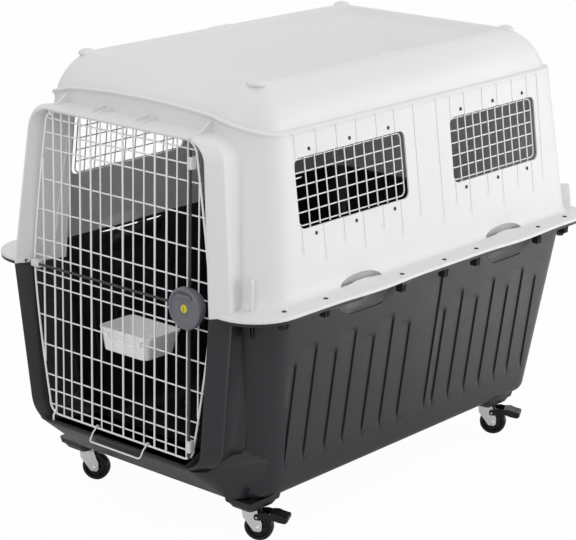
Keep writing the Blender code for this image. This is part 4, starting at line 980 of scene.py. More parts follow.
# %% Chin and sill
CHIN_FOOT = -0.4555
CHIN_FOOT_HALF = 0.212
CHIN_FALL = 0.1915       # from this height up the chin falls back to the wall
CHIN_FALL_RISE = 0.0485
CHIN_LEVELS = (          # heights, and how much the foot is rounded off there
    (FLOOR + 0.0003, 0.004), (FLOOR + 0.003, 0.001), (FLOOR + 0.006, 0.0), (0.150, 0.0),
    (CHIN_FALL, 0.0), (0.196, 0.0), (0.204, 0.0), (0.214, 0.0), (0.226, 0.0), (0.240, 0.0))
BAIL_LEGS = (-0.066, 0.079)


def soft_edges(piece, width, segments=2, angle=40):
    """Round a piece's sharp edges the way a mould leaves them."""
    modifier(piece, "BEVEL", width=width, segments=segments, limit_method="ANGLE",
             angle_limit=radians(angle), use_clamp_overlap=True)
    modifier(piece, "WEIGHTED_NORMAL", keep_sharp=True)


def corner_centre(z):
    """Centre of the front corner's round column at a height of the base."""
    drop = SEAM - z
    return (HALF_WIDTH - BASE_SIDE_LEAN * drop - FRONT_RADIUS,
            FRONT + BASE_FRONT_LEAN * drop + FRONT_RADIUS)


def corner_touch(x, y, z):
    """Where a straight line from a point ahead of the column just touches it, a hair inside."""
    radius = FRONT_RADIUS - 0.0004
    centre = corner_centre(z)
    across, along = centre[0] - x, centre[1] - y
    distance = max(hypot(across, along), radius * 1.0005)
    length = sqrt(distance ** 2 - radius ** 2)
    way = atan2(along, across) - asin(radius / distance)
    return (x + length * cos(way), y + length * sin(way))


def corner_arc(side, z):
    """Points that follow the column back to the front wall, inside its skin."""
    centre = corner_centre(z)
    start = atan2(side[1] - centre[1], side[0] - centre[0])
    radius = FRONT_RADIUS - 0.0024
    return [(centre[0] + radius * cos(way), centre[1] + radius * sin(way))
            for way in [start + (-pi / 2 - start) * step / 8 for step in range(9)]]


def chin_ring(z, ease):
    """A level of the chin: its front, a round corner, the line to the column, and the column."""
    share = min(1.0, (z - FLOOR) / (HOOP_BOTTOM - FLOOR))
    half = CHIN_FOOT_HALF + (hoop_half(HOOP_BOTTOM) - 0.008 - CHIN_FOOT_HALF) * share - ease
    front = CHIN_FOOT + (hoop_front(HOOP_BOTTOM) - CHIN_FOOT) * share + ease + 0.0005
    wall = FRONT + BASE_FRONT_LEAN * (SEAM - z)
    fall = 1 - (1 - max(0.0, (z - CHIN_FALL) / CHIN_FALL_RISE)) ** 1.6
    half += (corner_centre(z)[0] - half) * fall
    front += (wall + 0.0010 - front) * fall
    rear = max(wall + 0.003, front + 0.012)
    turn = min(0.036, (rear - front) * 0.6)
    side = corner_touch(half, front, z)
    nose = rounded(((0.0, front), (half, front), side), (0, turn, 0), 10)[1:]
    whole = nose + [side] + corner_arc(side, z)
    return [(x, y, z) for x, y in whole + [(-x, y) for x, y in reversed(whole)]]


chin_mesh = bmesh.new()
grow(chin_mesh, [chin_ring(z, ease) for z, ease in CHIN_LEVELS], "first last")
chin = finished("chin", chin_mesh, "base_plastic", "crate")
cut(chin, doorway_tool(*BASE_DOORWAY))
soft_edges(chin, 0.0012)

sill_mesh = bmesh.new()
sill_front = hoop_front(HOOP_BOTTOM)
block(sill_mesh, (BAIL_LEGS[0] + 0.006, sill_front - 0.0002, HOOP_BOTTOM - 0.008),
      (BAIL_LEGS[1] - 0.006, sill_front + 0.012, HOOP_BOTTOM + 0.0065), 0.002, 3)
finished("sill_bar", sill_mesh, "base_plastic", "crate")

# %% [markdown]
# ## Fins at the corners
#
# Short upright fins brace the flange at its four corners. They are thin moulded ribs, so each is an
# outline drawn side-on and grown to a few millimetres.

# %% Corner fins
FIN_PLACES = ((FRONT, FRONT_RADIUS, 1, -56), (REAR, REAR_RADIUS, -1, 48))


def rib(bm, outline, thickness, matrix):
    """An outline of distance and height, grown across itself and set in place."""
    rings = [[matrix @ Vector((along, across, up)) for along, up in outline]
             for across in (-thickness / 2, thickness / 2)]
    grow(bm, rings, "first last")


def fins(name, slot, low, high, top_reach, foot_reach, extra, thickness):
    """Upright gussets at the four corners of a flange."""
    bm = bmesh.new()
    for side in (1, -1):
        for y, radius, sign, angle in FIN_PLACES:
            centre = Vector((HALF_WIDTH - radius, y + sign * radius))
            for turn in extra:
                way = radians(angle + turn)
                matrix = (Matrix.Diagonal((side, 1, 1, 1)) @ Matrix.Translation((*centre, 0))
                          @ Matrix.Rotation(way, 4, "Z"))
                outline = rounded(((radius - 0.012, low), (radius + foot_reach, low),
                                   (radius + top_reach, high), (radius - 0.012, high)),
                                  (0, 0.0015, 0.006, 0), 5)
                rib(bm, outline, thickness, matrix)
    soft_edges(finished(name, bm, slot, "crate"), 0.0009)


fins("roof_corner_fins", "roof_plastic", SEAM + 0.006, SEAM + 0.066, 0.0115, 0.0175, (0,), 0.0046)
fins("base_corner_fins", "base_plastic", SEAM - 0.054, SEAM - 0.006, 0.0195, 0.001, (-4, 0, 4), 0.0030)

# %% [markdown]
# ## The ledge over the door and the roof tray
#
# Two gussets and four thin ribs hold the ledge over the door, with two low bars between the inner
# ones. The tray in the roof has a round pad near each corner and a raised bar at each side.

# %% Ledge ribs and the pads of the roof tray
LEDGE = 0.851
GUSSET = ((-0.528, LEDGE), (-0.466, LEDGE), (-0.466, 0.877), (-0.482, 0.872), (-0.505, 0.8575))
LEDGE_RIB = ((-0.520, LEDGE), (-0.470, LEDGE), (-0.470, 0.861), (-0.507, 0.859))
PAD_PLACES = ((-0.233, 0.233), (-0.394, 0.413))
PAD_SIZE = (0.0185, 0.0185, 0.0082, 1.0)

ledge_mesh = bmesh.new()
for across, outline, radii, thickness in (
        ((-0.203, 0.193), GUSSET, (0, 0, 0, 0.006, 0.010), 0.0045),
        ((-0.098, -0.076, 0.025, 0.046), LEDGE_RIB, (0, 0, 0, 0.003), 0.0022)):
    for x in across:
        matrix = Matrix.Translation((x, 0, 0)) @ Matrix.Rotation(radians(90), 4, "Z")
        rib(ledge_mesh, rounded(outline, radii, 4), thickness, matrix)
for start, end in ((-0.076, -0.030), (-0.022, 0.025)):
    block(ledge_mesh, (start, -0.5085, LEDGE), (end, -0.5065, 0.857), 0.0006, 2)
soft_edges(finished("ledge_ribs", ledge_mesh, "roof_plastic", "crate"), 0.0005)

tray_mesh = bmesh.new()
for x in PAD_PLACES[0]:
    for y in PAD_PLACES[1]:
        pad = Matrix.Translation((x, y, 0.9388)) @ Matrix.Diagonal(PAD_SIZE)
        bmesh.ops.create_uvsphere(tray_mesh, u_segments=32, v_segments=16, radius=1.0, matrix=pad)
    block(tray_mesh, (x - 0.006, -0.030, 0.936), (x + 0.004, 0.040, 0.9424), 0.0025, 3)
finished("tray_pads", tray_mesh, "roof_plastic", "crate")

# %% [markdown]
# ## Fasteners
#
# Sixteen push rivets clamp the flanges. Under each one the base flange is braced by three short
# ribs. The wire windows are held by small screws above and below each opening. Screws and rivets
# are lathe work: a profile spun round an axis.

# %% Rivets, ribs under the flange and window screws
BOLT_PLACES = ((0.2742, -0.528), (0.3610, -0.455), (0.3655, -0.339), (0.3726, -0.111),
               (0.3734, 0.028), (0.3734, 0.138), (0.3710, 0.366), (0.3660, 0.476))
places = list(BOLT_PLACES) + [(-x, y) for x, y in BOLT_PLACES]
TOP = SEAM + FLANGE_THICKNESS
UNDER = BASE_TOP - FLANGE_THICKNESS
RIVET = ((0.0, 0.0012), (0.0014, 0.0012), (0.0017, 0.0018), (0.0040, 0.0015), (0.0050, 0.0006),
         (0.0052, 0.0001), (0.0030, 0.0), (0.0030, UNDER - TOP), (0.0048, UNDER - TOP - 0.0001),
         (0.0044, UNDER - TOP - 0.0016), (0.0020, UNDER - TOP - 0.0085), (0.0, UNDER - TOP - 0.0095))
for number, (x, y) in enumerate(places, 1):
    rivet_mesh = bmesh.new()
    lathe(rivet_mesh, RIVET, Matrix.Translation((x, y, TOP + 0.0001)), 24)
    finished("rivet_%02d" % number, rivet_mesh, "bolt_plastic", "crate", "flange_bolt_%02d" % number)

LUG_INNER = -0.0105
LUG_OUTER = (0.0085, 0.0060)
LUG_FOOT = UNDER - 0.023
LUG_SPACING = 0.0055
lug_mesh = bmesh.new()
for x, y in places:
    ahead = y < -0.5
    reach = 1 if ahead or x > 0 else -1
    for shift in (-LUG_SPACING, 0.0, LUG_SPACING):
        matrix = Matrix.Translation((x, y + shift, 0))
        if ahead:
            matrix = Matrix.Translation((x + shift, y - 0.002, 0)) @ Matrix.Rotation(radians(-90), 4, "Z")
        rib(lug_mesh, ((LUG_INNER * reach, UNDER + 0.001), (LUG_OUTER[0] * reach, UNDER + 0.001),
                       (LUG_OUTER[1] * reach, LUG_FOOT), (LUG_INNER * reach, LUG_FOOT)), 0.0020, matrix)
soft_edges(finished("flange_ribs", lug_mesh, "base_plastic", "crate"), 0.0004)

SCREW = ((0.0, 0.0006), (0.0012, 0.0006), (0.0016, 0.0011), (0.0030, 0.0009), (0.0038, 0.0003),
         (0.0040, -0.0008))
SCREW_HEIGHTS = (0.8115, 0.6475)
SCREW_PLACES = (-0.3225, -0.2008, -0.0797, 0.161, 0.2738, 0.3809)
for side, word in SIDES:
    screw_mesh = bmesh.new()
    lean = Matrix.Rotation(side * (pi / 2 - ROOF_SIDE_LEAN), 4, "Y")
    for z in SCREW_HEIGHTS:
        face = HALF_WIDTH - ROOF_SIDE_LEAN * (z - SEAM) + 0.0003
        for y in SCREW_PLACES:
            lathe(screw_mesh, SCREW, Matrix.Translation((side * face, y, z)) @ lean, 20)
    finished("window_screws_" + word, screw_mesh, "bolt_plastic", "crate")

# %% [markdown]
# ## Wire windows
#
# Each window is a rounded frame with ten uprights and four cross wires welded on. A wire is a
# circle carried along a path. The grille leans with the wall, so it is drawn flat and then turned.

# %% Window grilles
GRILLE_WIRE = 0.0014
GRILLE_MARGIN = 0.005


def window_grille(name, side, ends):
    """One welded window, flat against the inside of the wall."""
    slope = atan(ROOF_SIDE_LEAN)
    middle = (WINDOW_TOP + WINDOW_BOTTOM) / 2
    half_height = (WINDOW_TOP - WINDOW_BOTTOM) / 2 / cos(slope) - GRILLE_MARGIN
    half_length = (ends[1] - ends[0]) / 2 - GRILLE_MARGIN
    corners = rectangle(-half_length, half_length, -half_height, half_height)
    bm = bmesh.new()
    behind = -side * 2 * GRILLE_WIRE
    edge = [(behind, y, z) for y, z in rounded(corners, [WINDOW_RADIUS - 0.003] * 4, 8)]
    tube(bm, edge, GRILLE_WIRE, 12, True)
    for index in range(10):
        y = -half_length + 2 * half_length * (index + 1) / 11
        tail = 0.013 if index in (0, 4, 5, 9) else 0.004
        tube(bm, [(0.0, y, -half_height - tail), (0.0, y, half_height + tail)], GRILLE_WIRE, 12)
    for index in range(4):
        z = -half_height + 2 * half_height * (index + 1) / 5
        tube(bm, [(behind, -half_length, z), (behind, half_length, z)], GRILLE_WIRE, 12)
    depth = (0.004 + GRILLE_WIRE + 0.0004) / cos(slope)
    face = HALF_WIDTH - ROOF_SIDE_LEAN * (middle - SEAM)
    lean = Matrix.Translation((side * (face - depth), (ends[0] + ends[1]) / 2, middle))
    bmesh.ops.transform(bm, verts=bm.verts, matrix=lean @ Matrix.Rotation(-side * slope, 4, "Y"))
    finished(name + "_wires", bm, "coated_wire", "crate", name)


for side, word in SIDES:
    for ends, end in zip(WINDOWS, ("front", "rear")):
        window_grille("window_grille_%s_%s" % (word, end), side, ends)

# %% [markdown]
# ## The wire door
#
# The door leans back with the hoop. A thick frame wire bulges to its widest at the lock, thick and
# thin uprights are welded in front of it and thin cross wires behind. Two bent wires make the
# hinge pins. Everything rides on the door's body, so it swings as one.

# %% Door
DOOR_PLANE = -0.539
DOOR_TILT = 0.022
LOCK_HEIGHT = 0.524
LOCK_X = 0.2035
DOOR_HALF = 0.2488
DOOR_TOP = 0.8455
DOOR_BOTTOM = 0.2065
DOOR_CORNER = 0.030
FRAME_WIRE = 0.0022
THICK_WIRE = 0.0021
THIN_WIRE = 0.0016
THICK_UPRIGHTS = (-0.2198, -0.1884, -0.1115, -0.0805, 0.010, 0.0984, 0.1304)
THIN_UPRIGHTS = (-0.165, -0.141, -0.0528, -0.0226, 0.039, 0.0688, 0.158, 0.1867, 0.2168)
CROSS_WIRES = (0.8284, 0.7987, 0.7653, 0.701, 0.6368, 0.574, 0.5392, 0.5053, 0.4786, 0.4125,
               0.3506, 0.2871, 0.2549, 0.2242)
HINGE_X = -0.1884
HINGE_AHEAD = 0.0085


def door_y(z):
    """The door's plane, which leans back as it rises."""
    return DOOR_PLANE + DOOR_TILT * (z - LOCK_HEIGHT)


def door_half(z):
    """Half width of the frame: widest at the lock, drawn in above and below."""
    rise = z - LOCK_HEIGHT
    return DOOR_HALF - (0.19 * rise ** 1.3 if rise > 0 else 0.24 * (-rise) ** 1.4)


def door_reach(x):
    """Lowest and highest point of an upright."""
    low, high = DOOR_BOTTOM, DOOR_TOP
    while door_half(low) < abs(x) + 0.002:
        low += 0.002
    while door_half(high) < abs(x) + 0.002:
        high -= 0.002
    return low, high


def door_outline():
    """Centre line of the frame wire."""
    levels = [DOOR_BOTTOM + DOOR_CORNER + (DOOR_TOP - DOOR_BOTTOM - 2 * DOOR_CORNER) * step / 24
              for step in range(25)]
    corners = [(door_half(levels[0]) - 0.002, DOOR_BOTTOM)] + [(door_half(z), z) for z in levels]
    corners += [(door_half(levels[-1]) - 0.004, DOOR_TOP)]
    corners += [(-x, z) for x, z in reversed(corners)]
    radii = [DOOR_CORNER - 0.003 if z in (DOOR_BOTTOM, DOOR_TOP) else 0.0 for x, z in corners]
    return rounded(corners, radii, 10)


door_mesh = bmesh.new()
tube(door_mesh, [(x, door_y(z), z) for x, z in door_outline()], FRAME_WIRE, 14, True)
for uprights, radius in ((THICK_UPRIGHTS, THICK_WIRE), (THIN_UPRIGHTS, THIN_WIRE)):
    for x in uprights:
        low, high = door_reach(x)
        tube(door_mesh, [(x, door_y(low), low), (x, door_y(high), high)], radius, 12)
for z in CROSS_WIRES:
    half = door_half(z) + 0.001
    behind = door_y(z) + 2 * THIN_WIRE
    tube(door_mesh, [(-half, behind, z), (half, behind, z)], THIN_WIRE, 12)
HINGE_PINS = ((DOOR_BOTTOM + 0.012, HOOP_BOTTOM + 0.0015), (DOOR_TOP - 0.012, HOOP_TOP - 0.001))
for start, end in HINGE_PINS:
    bend = (start + end) / 2
    tube(door_mesh, [(HINGE_X, door_y(start), start), (HINGE_X, door_y(bend) - HINGE_AHEAD, bend),
                     (HINGE_X, door_y(end) - HINGE_AHEAD, end)], THICK_WIRE, 12)
finished("door_wires", door_mesh, "coated_wire", "door", "door_grid")

# %% [markdown]
# ## The lock
#
# One knob drives three rods: up, down and to the left. The knob is a dished disc with a grip bar
# across its top and a yellow key insert in the middle. Behind it a round housing carries the cam
# and clamps the door wires against a back plate.

# %% Knob
KNOB_RADIUS = 0.042
KNOB_FRONT = -0.5675
KNOB_BACK = -0.5531
HOUSING_FRONT = -0.5527
HOUSING_BACK = -0.5434
ROD_RADIUS = 0.0025
ROD_Y = -0.5492
ROD_START = 0.0145       # how far from the knob's middle a rod begins
FACING = Matrix.Translation((LOCK_X, 0, LOCK_HEIGHT)) @ Matrix.Rotation(pi / 2, 4, "X")


def bow(outer, inner, height, depth, steps=6):
    """Points of a rounded edge between two radii."""
    return [(outer - (outer - inner) * (1 - cos(pi / 2 * step / steps)),
             height + depth * sin(pi / 2 * step / steps)) for step in range(steps + 1)]


knob_mesh = bmesh.new()
face = -KNOB_FRONT
KNOB = [(0.0, face - 0.0032), (0.0105, face - 0.0032), (0.0112, face - 0.0022), (0.0130, face - 0.0020)]
KNOB += [(0.0150, face - 0.0034), (0.0325, face - 0.0042), (0.0340, face - 0.0036), (0.0356, face - 0.0006)]
KNOB += reversed(bow(KNOB_RADIUS, 0.0375, face - 0.0040, 0.0040))
KNOB += [(KNOB_RADIUS, -KNOB_BACK + 0.0030), (KNOB_RADIUS - 0.0035, -KNOB_BACK), (0.0, -KNOB_BACK)]
lathe(knob_mesh, KNOB, FACING, 72)
GRIP_HEIGHT = LOCK_HEIGHT + 0.0245
grip = rounded(((-0.021, -0.0042), (0.021, -0.0042), (0.0165, 0.0042), (-0.0165, 0.0042)), [0.0030] * 4, 5)
grow(knob_mesh, [[(LOCK_X + x * share, y, GRIP_HEIGHT + z * share) for x, z in grip] for y, share in (
    (KNOB_FRONT + 0.0048, 1.0), (KNOB_FRONT + 0.0012, 0.97), (KNOB_FRONT + 0.0003, 0.92),
    (KNOB_FRONT, 0.82))], "first last")
finished("knob", knob_mesh, "lock_plastic", "knob", "lock_knob", sharp=28)

# %% [markdown]
# ## Key, housing and back plate
#
# The key insert is a turned cap with a narrow slot. The rods run in two grooves in the front of the
# housing: an upright one right across, and a level one to the left. The back plate is a plain dish.

# %% Key, housing and back plate
key_mesh = bmesh.new()
lathe(key_mesh, [(0.0, face - 0.0006), (0.0070, face - 0.0006), (0.0082, face - 0.0012),
                 (0.0085, face - 0.0022), (0.0085, face - 0.0082), (0.0, face - 0.0082)], FACING, 40)
key = finished("key", key_mesh, "key_plastic", "knob", "key_insert")
slot_mesh = bmesh.new()
block(slot_mesh, (LOCK_X - 0.0011, KNOB_FRONT - 0.01, LOCK_HEIGHT - 0.0050),
      (LOCK_X + 0.0011, KNOB_FRONT + 0.0032, LOCK_HEIGHT + 0.0050))
cut(key, cutter("key slot tool", slot_mesh))

housing_mesh = bmesh.new()
HOUSING = [(0.0, -HOUSING_FRONT), *reversed(bow(0.036, 0.0335, -HOUSING_FRONT - 0.0025, 0.0025)),
           (0.036, -HOUSING_BACK), (0.0, -HOUSING_BACK)]
lathe(housing_mesh, HOUSING, FACING, 64)
housing = finished("housing", housing_mesh, "lock_plastic", "door", "lock_housing")
SLOT_HALF, SLOT_LENGTH, SLOT_AHEAD, SLOT_FLOOR = 0.0036, 0.06, -0.57, -0.5456
for name, (left, right, down, up) in (
        ("upright slot tool", (-SLOT_HALF, SLOT_HALF, -SLOT_LENGTH, SLOT_LENGTH)),
        ("level slot tool", (-SLOT_LENGTH, 0.0, -SLOT_HALF, SLOT_HALF))):
    slot_mesh = bmesh.new()
    block(slot_mesh, (LOCK_X + left, SLOT_AHEAD, LOCK_HEIGHT + down),
          (LOCK_X + right, SLOT_FLOOR, LOCK_HEIGHT + up))
    cut(housing, cutter(name, slot_mesh))

plate_mesh = bmesh.new()
behind = -(DOOR_PLANE + 3 * THIN_WIRE + 0.0012)
lathe(plate_mesh, [(0.0, behind), (0.026, behind), (0.0262, behind - 0.0010), (0.0255, behind - 0.0025),
                   (0.0240, behind - 0.0034), (0.010, behind - 0.0034), (0.009, behind - 0.0026),
                   (0.0, behind - 0.0026)], FACING, 48)
finished("back_plate", plate_mesh, "lock_plastic", "door", "lock_back_plate")

# %% [markdown]
# ## Rods and their sockets
#
# Each rod is a straight bar with softened ends and slides along its own line. Where it slides out of
# the door, a socket a little wider than the rod is cut from the pieces that it enters.

# %% Rods and their sockets
SOCKET_GAP = 0.0015
RODS = (                 # name, body, start and end of each rod, and what its socket is cut from
    ("up", (LOCK_X, LOCK_HEIGHT + ROD_START), (LOCK_X, 0.8310), (roof_hoop,)),
    ("down", (LOCK_X, LOCK_HEIGHT - ROD_START), (LOCK_X, 0.2140), (chin, base_hoop)),
    ("left", (LOCK_X - ROD_START, LOCK_HEIGHT), (-0.2520, LOCK_HEIGHT), (roof_skin, roof_hoop)))


def round_section(spot, turn, radius, share=1.0):
    """Sixteen points round a rod, square to its run."""
    return [spot + turn @ Vector((cos(pi * step / 8), sin(pi * step / 8), 0)) * radius * share
            for step in range(16)]


for word, start, end, solids in RODS:
    name = "lock_rod_" + word
    rod_mesh = bmesh.new()
    first, last = [Vector((x, door_y(z) + ROD_Y - DOOR_PLANE, z)) for x, z in (start, end)]
    along = (last - first).normalized() * 0.0009
    turn = along.to_track_quat("Z", "Y").to_matrix()
    grow(rod_mesh, [round_section(spot, turn, ROD_RADIUS, share) for spot, share in (
        (first, 0.9), (first + along, 1.0), (last - along, 1.0), (last, 0.55))], "first last")
    finished(name + "_bar", rod_mesh, "rod_finish", "rod_" + word, name, sharp=40)
    socket_mesh = bmesh.new()
    grow(socket_mesh, [round_section(spot, turn, ROD_RADIUS + SOCKET_GAP)
                       for spot in (last - along * 9, last + along * 27)], "first last")
    for solid in solids:
        cut(solid, cutter("rod socket tool", socket_mesh.copy()))

# %% [markdown]
# ## Rod guides
#
# A clip with a rounded nose holds each rod against the door. It is grown along the rod and bored
# with a tube, which leaves the rod a little play.

# %% Rod guides
GUIDE_ROUND = (0.0006, 0.0006, 0.0045, 0.0045)
GUIDE_NOSE = 0.0055      # how far a clip reaches ahead of the rod's middle
GUIDE_PLAY = 0.0006
GUIDE_BORE = 0.03
GUIDES = (               # name, place and half size
    ("rod_guide_top", LOCK_X, 0.806, 0.007, 0.012), ("rod_guide_bottom", LOCK_X, 0.240, 0.007, 0.012),
    ("rod_guide_left", -0.2330, LOCK_HEIGHT, 0.011, 0.0075))


def rod_guide(name, x, z, half_x, half_z):
    """A clip with a rounded nose that holds a rod against the door."""
    bm = bmesh.new()
    back = door_y(z) - THICK_WIRE - 0.0004
    centre = door_y(z) + ROD_Y - DOOR_PLANE
    nose = centre - GUIDE_NOSE
    upright = half_z > half_x
    middle, half = (x, half_x) if upright else (z, half_z)
    outline = rounded(rectangle(middle - half, middle + half, back, nose), GUIDE_ROUND, 6)
    if upright:
        rings = [[(px, py + DOOR_TILT * (level_z - z), level_z) for px, py in outline]
                 for level_z in (z - half_z, z + half_z)]
        run = [(x, centre + DOOR_TILT * along, z + along) for along in (-GUIDE_BORE, GUIDE_BORE)]
    else:
        rings = [[(level_x, py, pz) for pz, py in outline] for level_x in (x - half_x, x + half_x)]
        run = [(x + along, centre, z) for along in (-GUIDE_BORE, GUIDE_BORE)]
    grow(bm, rings, "first last")
    piece = finished(name + "_clip", bm, "clip_plastic", "door", name)
    bore = bmesh.new()
    tube(bore, run, ROD_RADIUS + GUIDE_PLAY, 24)
    cut(piece, cutter(name + " bore", bore))
    soft_edges(piece, 0.0006)


for guide in GUIDES:
    rod_guide(*guide)

# %% [markdown]
# ## Bail
#
# A wire bail hangs from the bottom wire of the door, and its legs pass the two ends of the sill bar.
# It is one bent wire: round the bottom wire, down, across, and back up.

# %% Bail
BAIL_WIRE = 0.0016
BAIL_BAR_Y = -0.5690
BAIL_BAR_Z = 0.1840
bail_mesh = bmesh.new()
pivot = Vector((0, door_y(DOOR_BOTTOM), DOOR_BOTTOM))
hook = FRAME_WIRE + BAIL_WIRE + 0.0012
bail_path = []
for x, sign in ((BAIL_LEGS[0], 1), (BAIL_LEGS[1], -1)):
    leg = [(x, pivot.y + hook * cos(radians(angle)), pivot.z + hook * sin(radians(angle)))
           for angle in (-10, 15, 40, 65, 90, 115, 140, 165)]
    leg += [(x, pivot.y - 0.006, pivot.z - 0.0015), (x, pivot.y - 0.012, pivot.z - 0.006),
            (x, BAIL_BAR_Y + 0.0045, BAIL_BAR_Z + 0.0060),
            (x + sign * 0.0008, BAIL_BAR_Y + 0.0018, BAIL_BAR_Z + 0.0022),
            (x + sign * 0.004, BAIL_BAR_Y, BAIL_BAR_Z)]
    bail_path += leg if sign == 1 else leg[::-1]
tube(bail_mesh, bail_path, BAIL_WIRE, 12)
finished("bail_wire", bail_mesh, "coated_wire", "bail", "door_bail")

# %% [markdown]
# ## Bowl
#
# The bowl is a thin tapered tray with a rolled rim. It is grown as one closed skin, up the outside
# and down the inside, and two hooks hang it over a cross wire.

# %% Bowl
BOWL_LEFT, BOWL_RIGHT = -0.068, 0.072
BOWL_FRONT = -0.5345
BOWL_REAR = -0.440
BOWL_RIM = 0.424
BOWL_FOOT = 0.376
BOWL_LEVELS = (          # heights up the outside and down the inside, and how far the sides spread there
    (BOWL_FOOT, -0.009), (BOWL_FOOT + 0.0015, -0.008), (BOWL_RIM - 0.014, -0.0025),
    (BOWL_RIM - 0.0135, -0.0008), (BOWL_RIM - 0.0045, 0.0002), (BOWL_RIM - 0.0040, 0.0024),
    (BOWL_RIM - 0.0010, 0.0030), (BOWL_RIM, 0.0024), (BOWL_RIM, -0.0004), (BOWL_RIM - 0.0012, -0.0014),
    (BOWL_RIM - 0.0130, -0.0030), (BOWL_FOOT + 0.0050, -0.0095), (BOWL_FOOT + 0.0025, -0.0120))


def bowl_level(z, spread, inset=0.0):
    """A level of the bowl: spread moves the sides out, inset moves the whole ring in."""
    front = BOWL_FRONT - spread / 4 + inset
    corners = rectangle(BOWL_LEFT - spread + inset, BOWL_RIGHT + spread - inset,
                        front, BOWL_REAR + spread - inset)
    return [(x, y, z) for x, y in rounded(corners, [0.013 - inset / 2] * 4, 8)]


bowl_mesh = bmesh.new()
grow(bowl_mesh, [bowl_level(BOWL_FOOT, -0.010, 0.004)]
     + [bowl_level(z, spread) for z, spread in BOWL_LEVELS], "first last")
wire = CROSS_WIRES[9]
hook_top = wire + THIN_WIRE + 0.0006
ahead = door_y(wire) + THIN_WIRE - 0.0007
for x in (BOWL_LEFT + 0.030, BOWL_RIGHT - 0.018):
    outline = ((BOWL_FRONT + 0.0015, hook_top), (BOWL_FRONT + 0.0015, hook_top + 0.0022),
               (ahead - 0.0020, hook_top + 0.0022), (ahead - 0.0020, wire - 0.0045), (ahead, wire - 0.0045),
               (ahead, hook_top))
    grow(bowl_mesh, [[(x + half, y, z) for y, z in outline] for half in (-0.004, 0.004)], "first last")
finished("bowl", bowl_mesh, "bowl_plastic", "bowl", "water_bowl", sharp=32)

# %% [markdown]
# ## Casters
#
# Every caster is made of a mounting block, a zinc plate with its ball race, a pressed fork, an axle
# and a wheel; the two on the right carry a foot pedal. All four point the same way, because the
# crate was last rolled that way. The outlines and profiles come first.

# %% Caster parts
CASTER_PLACES = {"right_front": (0.2235, -0.3985), "right_rear": (0.2235, 0.4020),
                 "left_front": (-0.2535, -0.3985), "left_rear": (-0.2535, 0.4020)}
HEADING = radians(28)
TRAIL = 0.017
WHEEL_RADIUS = 0.030
BLOCK_FOOT = 0.0755
FORK_TOP = 0.0688
FORK_HALF = 0.0150
SHEET = 0.0018
PEDAL_X, PEDAL_Z = 0.0150, 0.0530
PLATE_TOP = BLOCK_FOOT - 0.0002
FORK_UNDER = FORK_TOP - SHEET
BLOCK_LEVELS = (         # height and half sizes of the mounting block
    (BLOCK_FOOT, 0.0275, 0.0355), (BLOCK_FOOT + 0.0006, 0.0282, 0.0362),
    (BLOCK_FOOT + 0.0110, 0.0335, 0.0435), (BLOCK_FOOT + 0.0118, 0.0365, 0.0465),
    (0.0995, 0.0385, 0.0495))
KINGPIN = (              # from here on, profiles of radius and height for the lathe
    (0.0, PLATE_TOP - 0.001), (0.0130, PLATE_TOP - 0.001), (0.0132, PLATE_TOP - 0.0030),
    (0.0126, FORK_TOP + 0.0003), (0.0040, FORK_TOP + 0.0002), (0.0040, FORK_UNDER - 0.0002),
    (0.0064, FORK_UNDER - 0.0002), (0.0060, FORK_UNDER - 0.0020), (0.0, FORK_UNDER - 0.0024))
PLATE_RIVET = ((0.0, PLATE_TOP - 0.0042), (0.0022, PLATE_TOP - 0.0040), (0.0030, PLATE_TOP - 0.0022),
               (0.0030, PLATE_TOP - 0.0010), (0.0, PLATE_TOP - 0.0010))
RACE = ((0.0135, FORK_UNDER + 0.0002), (0.0142, FORK_UNDER - 0.0012), (0.0080, FORK_UNDER - 0.0016),
        (0.0072, FORK_UNDER + 0.0002))
STUD = ((0.0, FORK_HALF - 0.001), (0.0022, FORK_HALF - 0.001), (0.0022, FORK_HALF + 0.0026),
        (0.0018, FORK_HALF + 0.0030), (0.0, FORK_HALF + 0.0030))
AXLE = ((0.0, 0.0178), (0.0030, 0.0176), (0.0046, 0.0170), (0.0050, 0.0158), (0.0050, 0.0151),
        (0.0030, 0.0151), (0.0030, 0.0))
WHEEL = ((0.0034, 0.0113), (0.0075, 0.0113), (0.0082, 0.0104), (0.0090, 0.0072), (0.0195, 0.0064),
         (0.0212, 0.0080), (0.0222, 0.0103), (0.0262, 0.0105), (0.0270, 0.0098), (0.0285, 0.0092),
         (0.0295, 0.0078), (0.02985, 0.0050), (0.0300, 0.0020))
CHEEK = rounded(((-0.0160, FORK_TOP), (-0.0140, 0.052), (TRAIL - 0.0085, 0.0225), (TRAIL + 0.0085, 0.0215),
                 (TRAIL + 0.0090, 0.040), (0.0150, FORK_TOP)), (0.0, 0.006, 0.0060, 0.0070, 0.008, 0.0), 6)
TREAD = rounded(((0.0425, 0.0640), (0.0425, 0.0520), (0.0590, 0.0470), (0.0740, 0.0450), (0.0795, 0.0490),
                 (0.0800, 0.0575), (0.0640, 0.0610), (0.0560, 0.0645)),
                (0.002, 0.002, 0.006, 0.004, 0.003, 0.003, 0.008, 0.003), 5)
PEDAL_ARM = rounded(((PEDAL_X - 0.0055, PEDAL_Z - 0.0055), (PEDAL_X + 0.006, PEDAL_Z - 0.0055),
                     (0.050, 0.052), (0.050, 0.062), (0.030, 0.065), (PEDAL_X - 0.0055, PEDAL_Z + 0.0065)),
                    (0.0050, 0.003, 0.0, 0.0, 0.010, 0.0050), 6)
print("caster heading:", round(HEADING, 4), "rad, trail", TRAIL)

# %% [markdown]
# ## Building the casters
#
# Each function builds its parts in the caster's own axes and sets them in place with a matrix: the
# flat plates are grown from an outline, the turned parts are spun from a profile.

# %% Build the casters


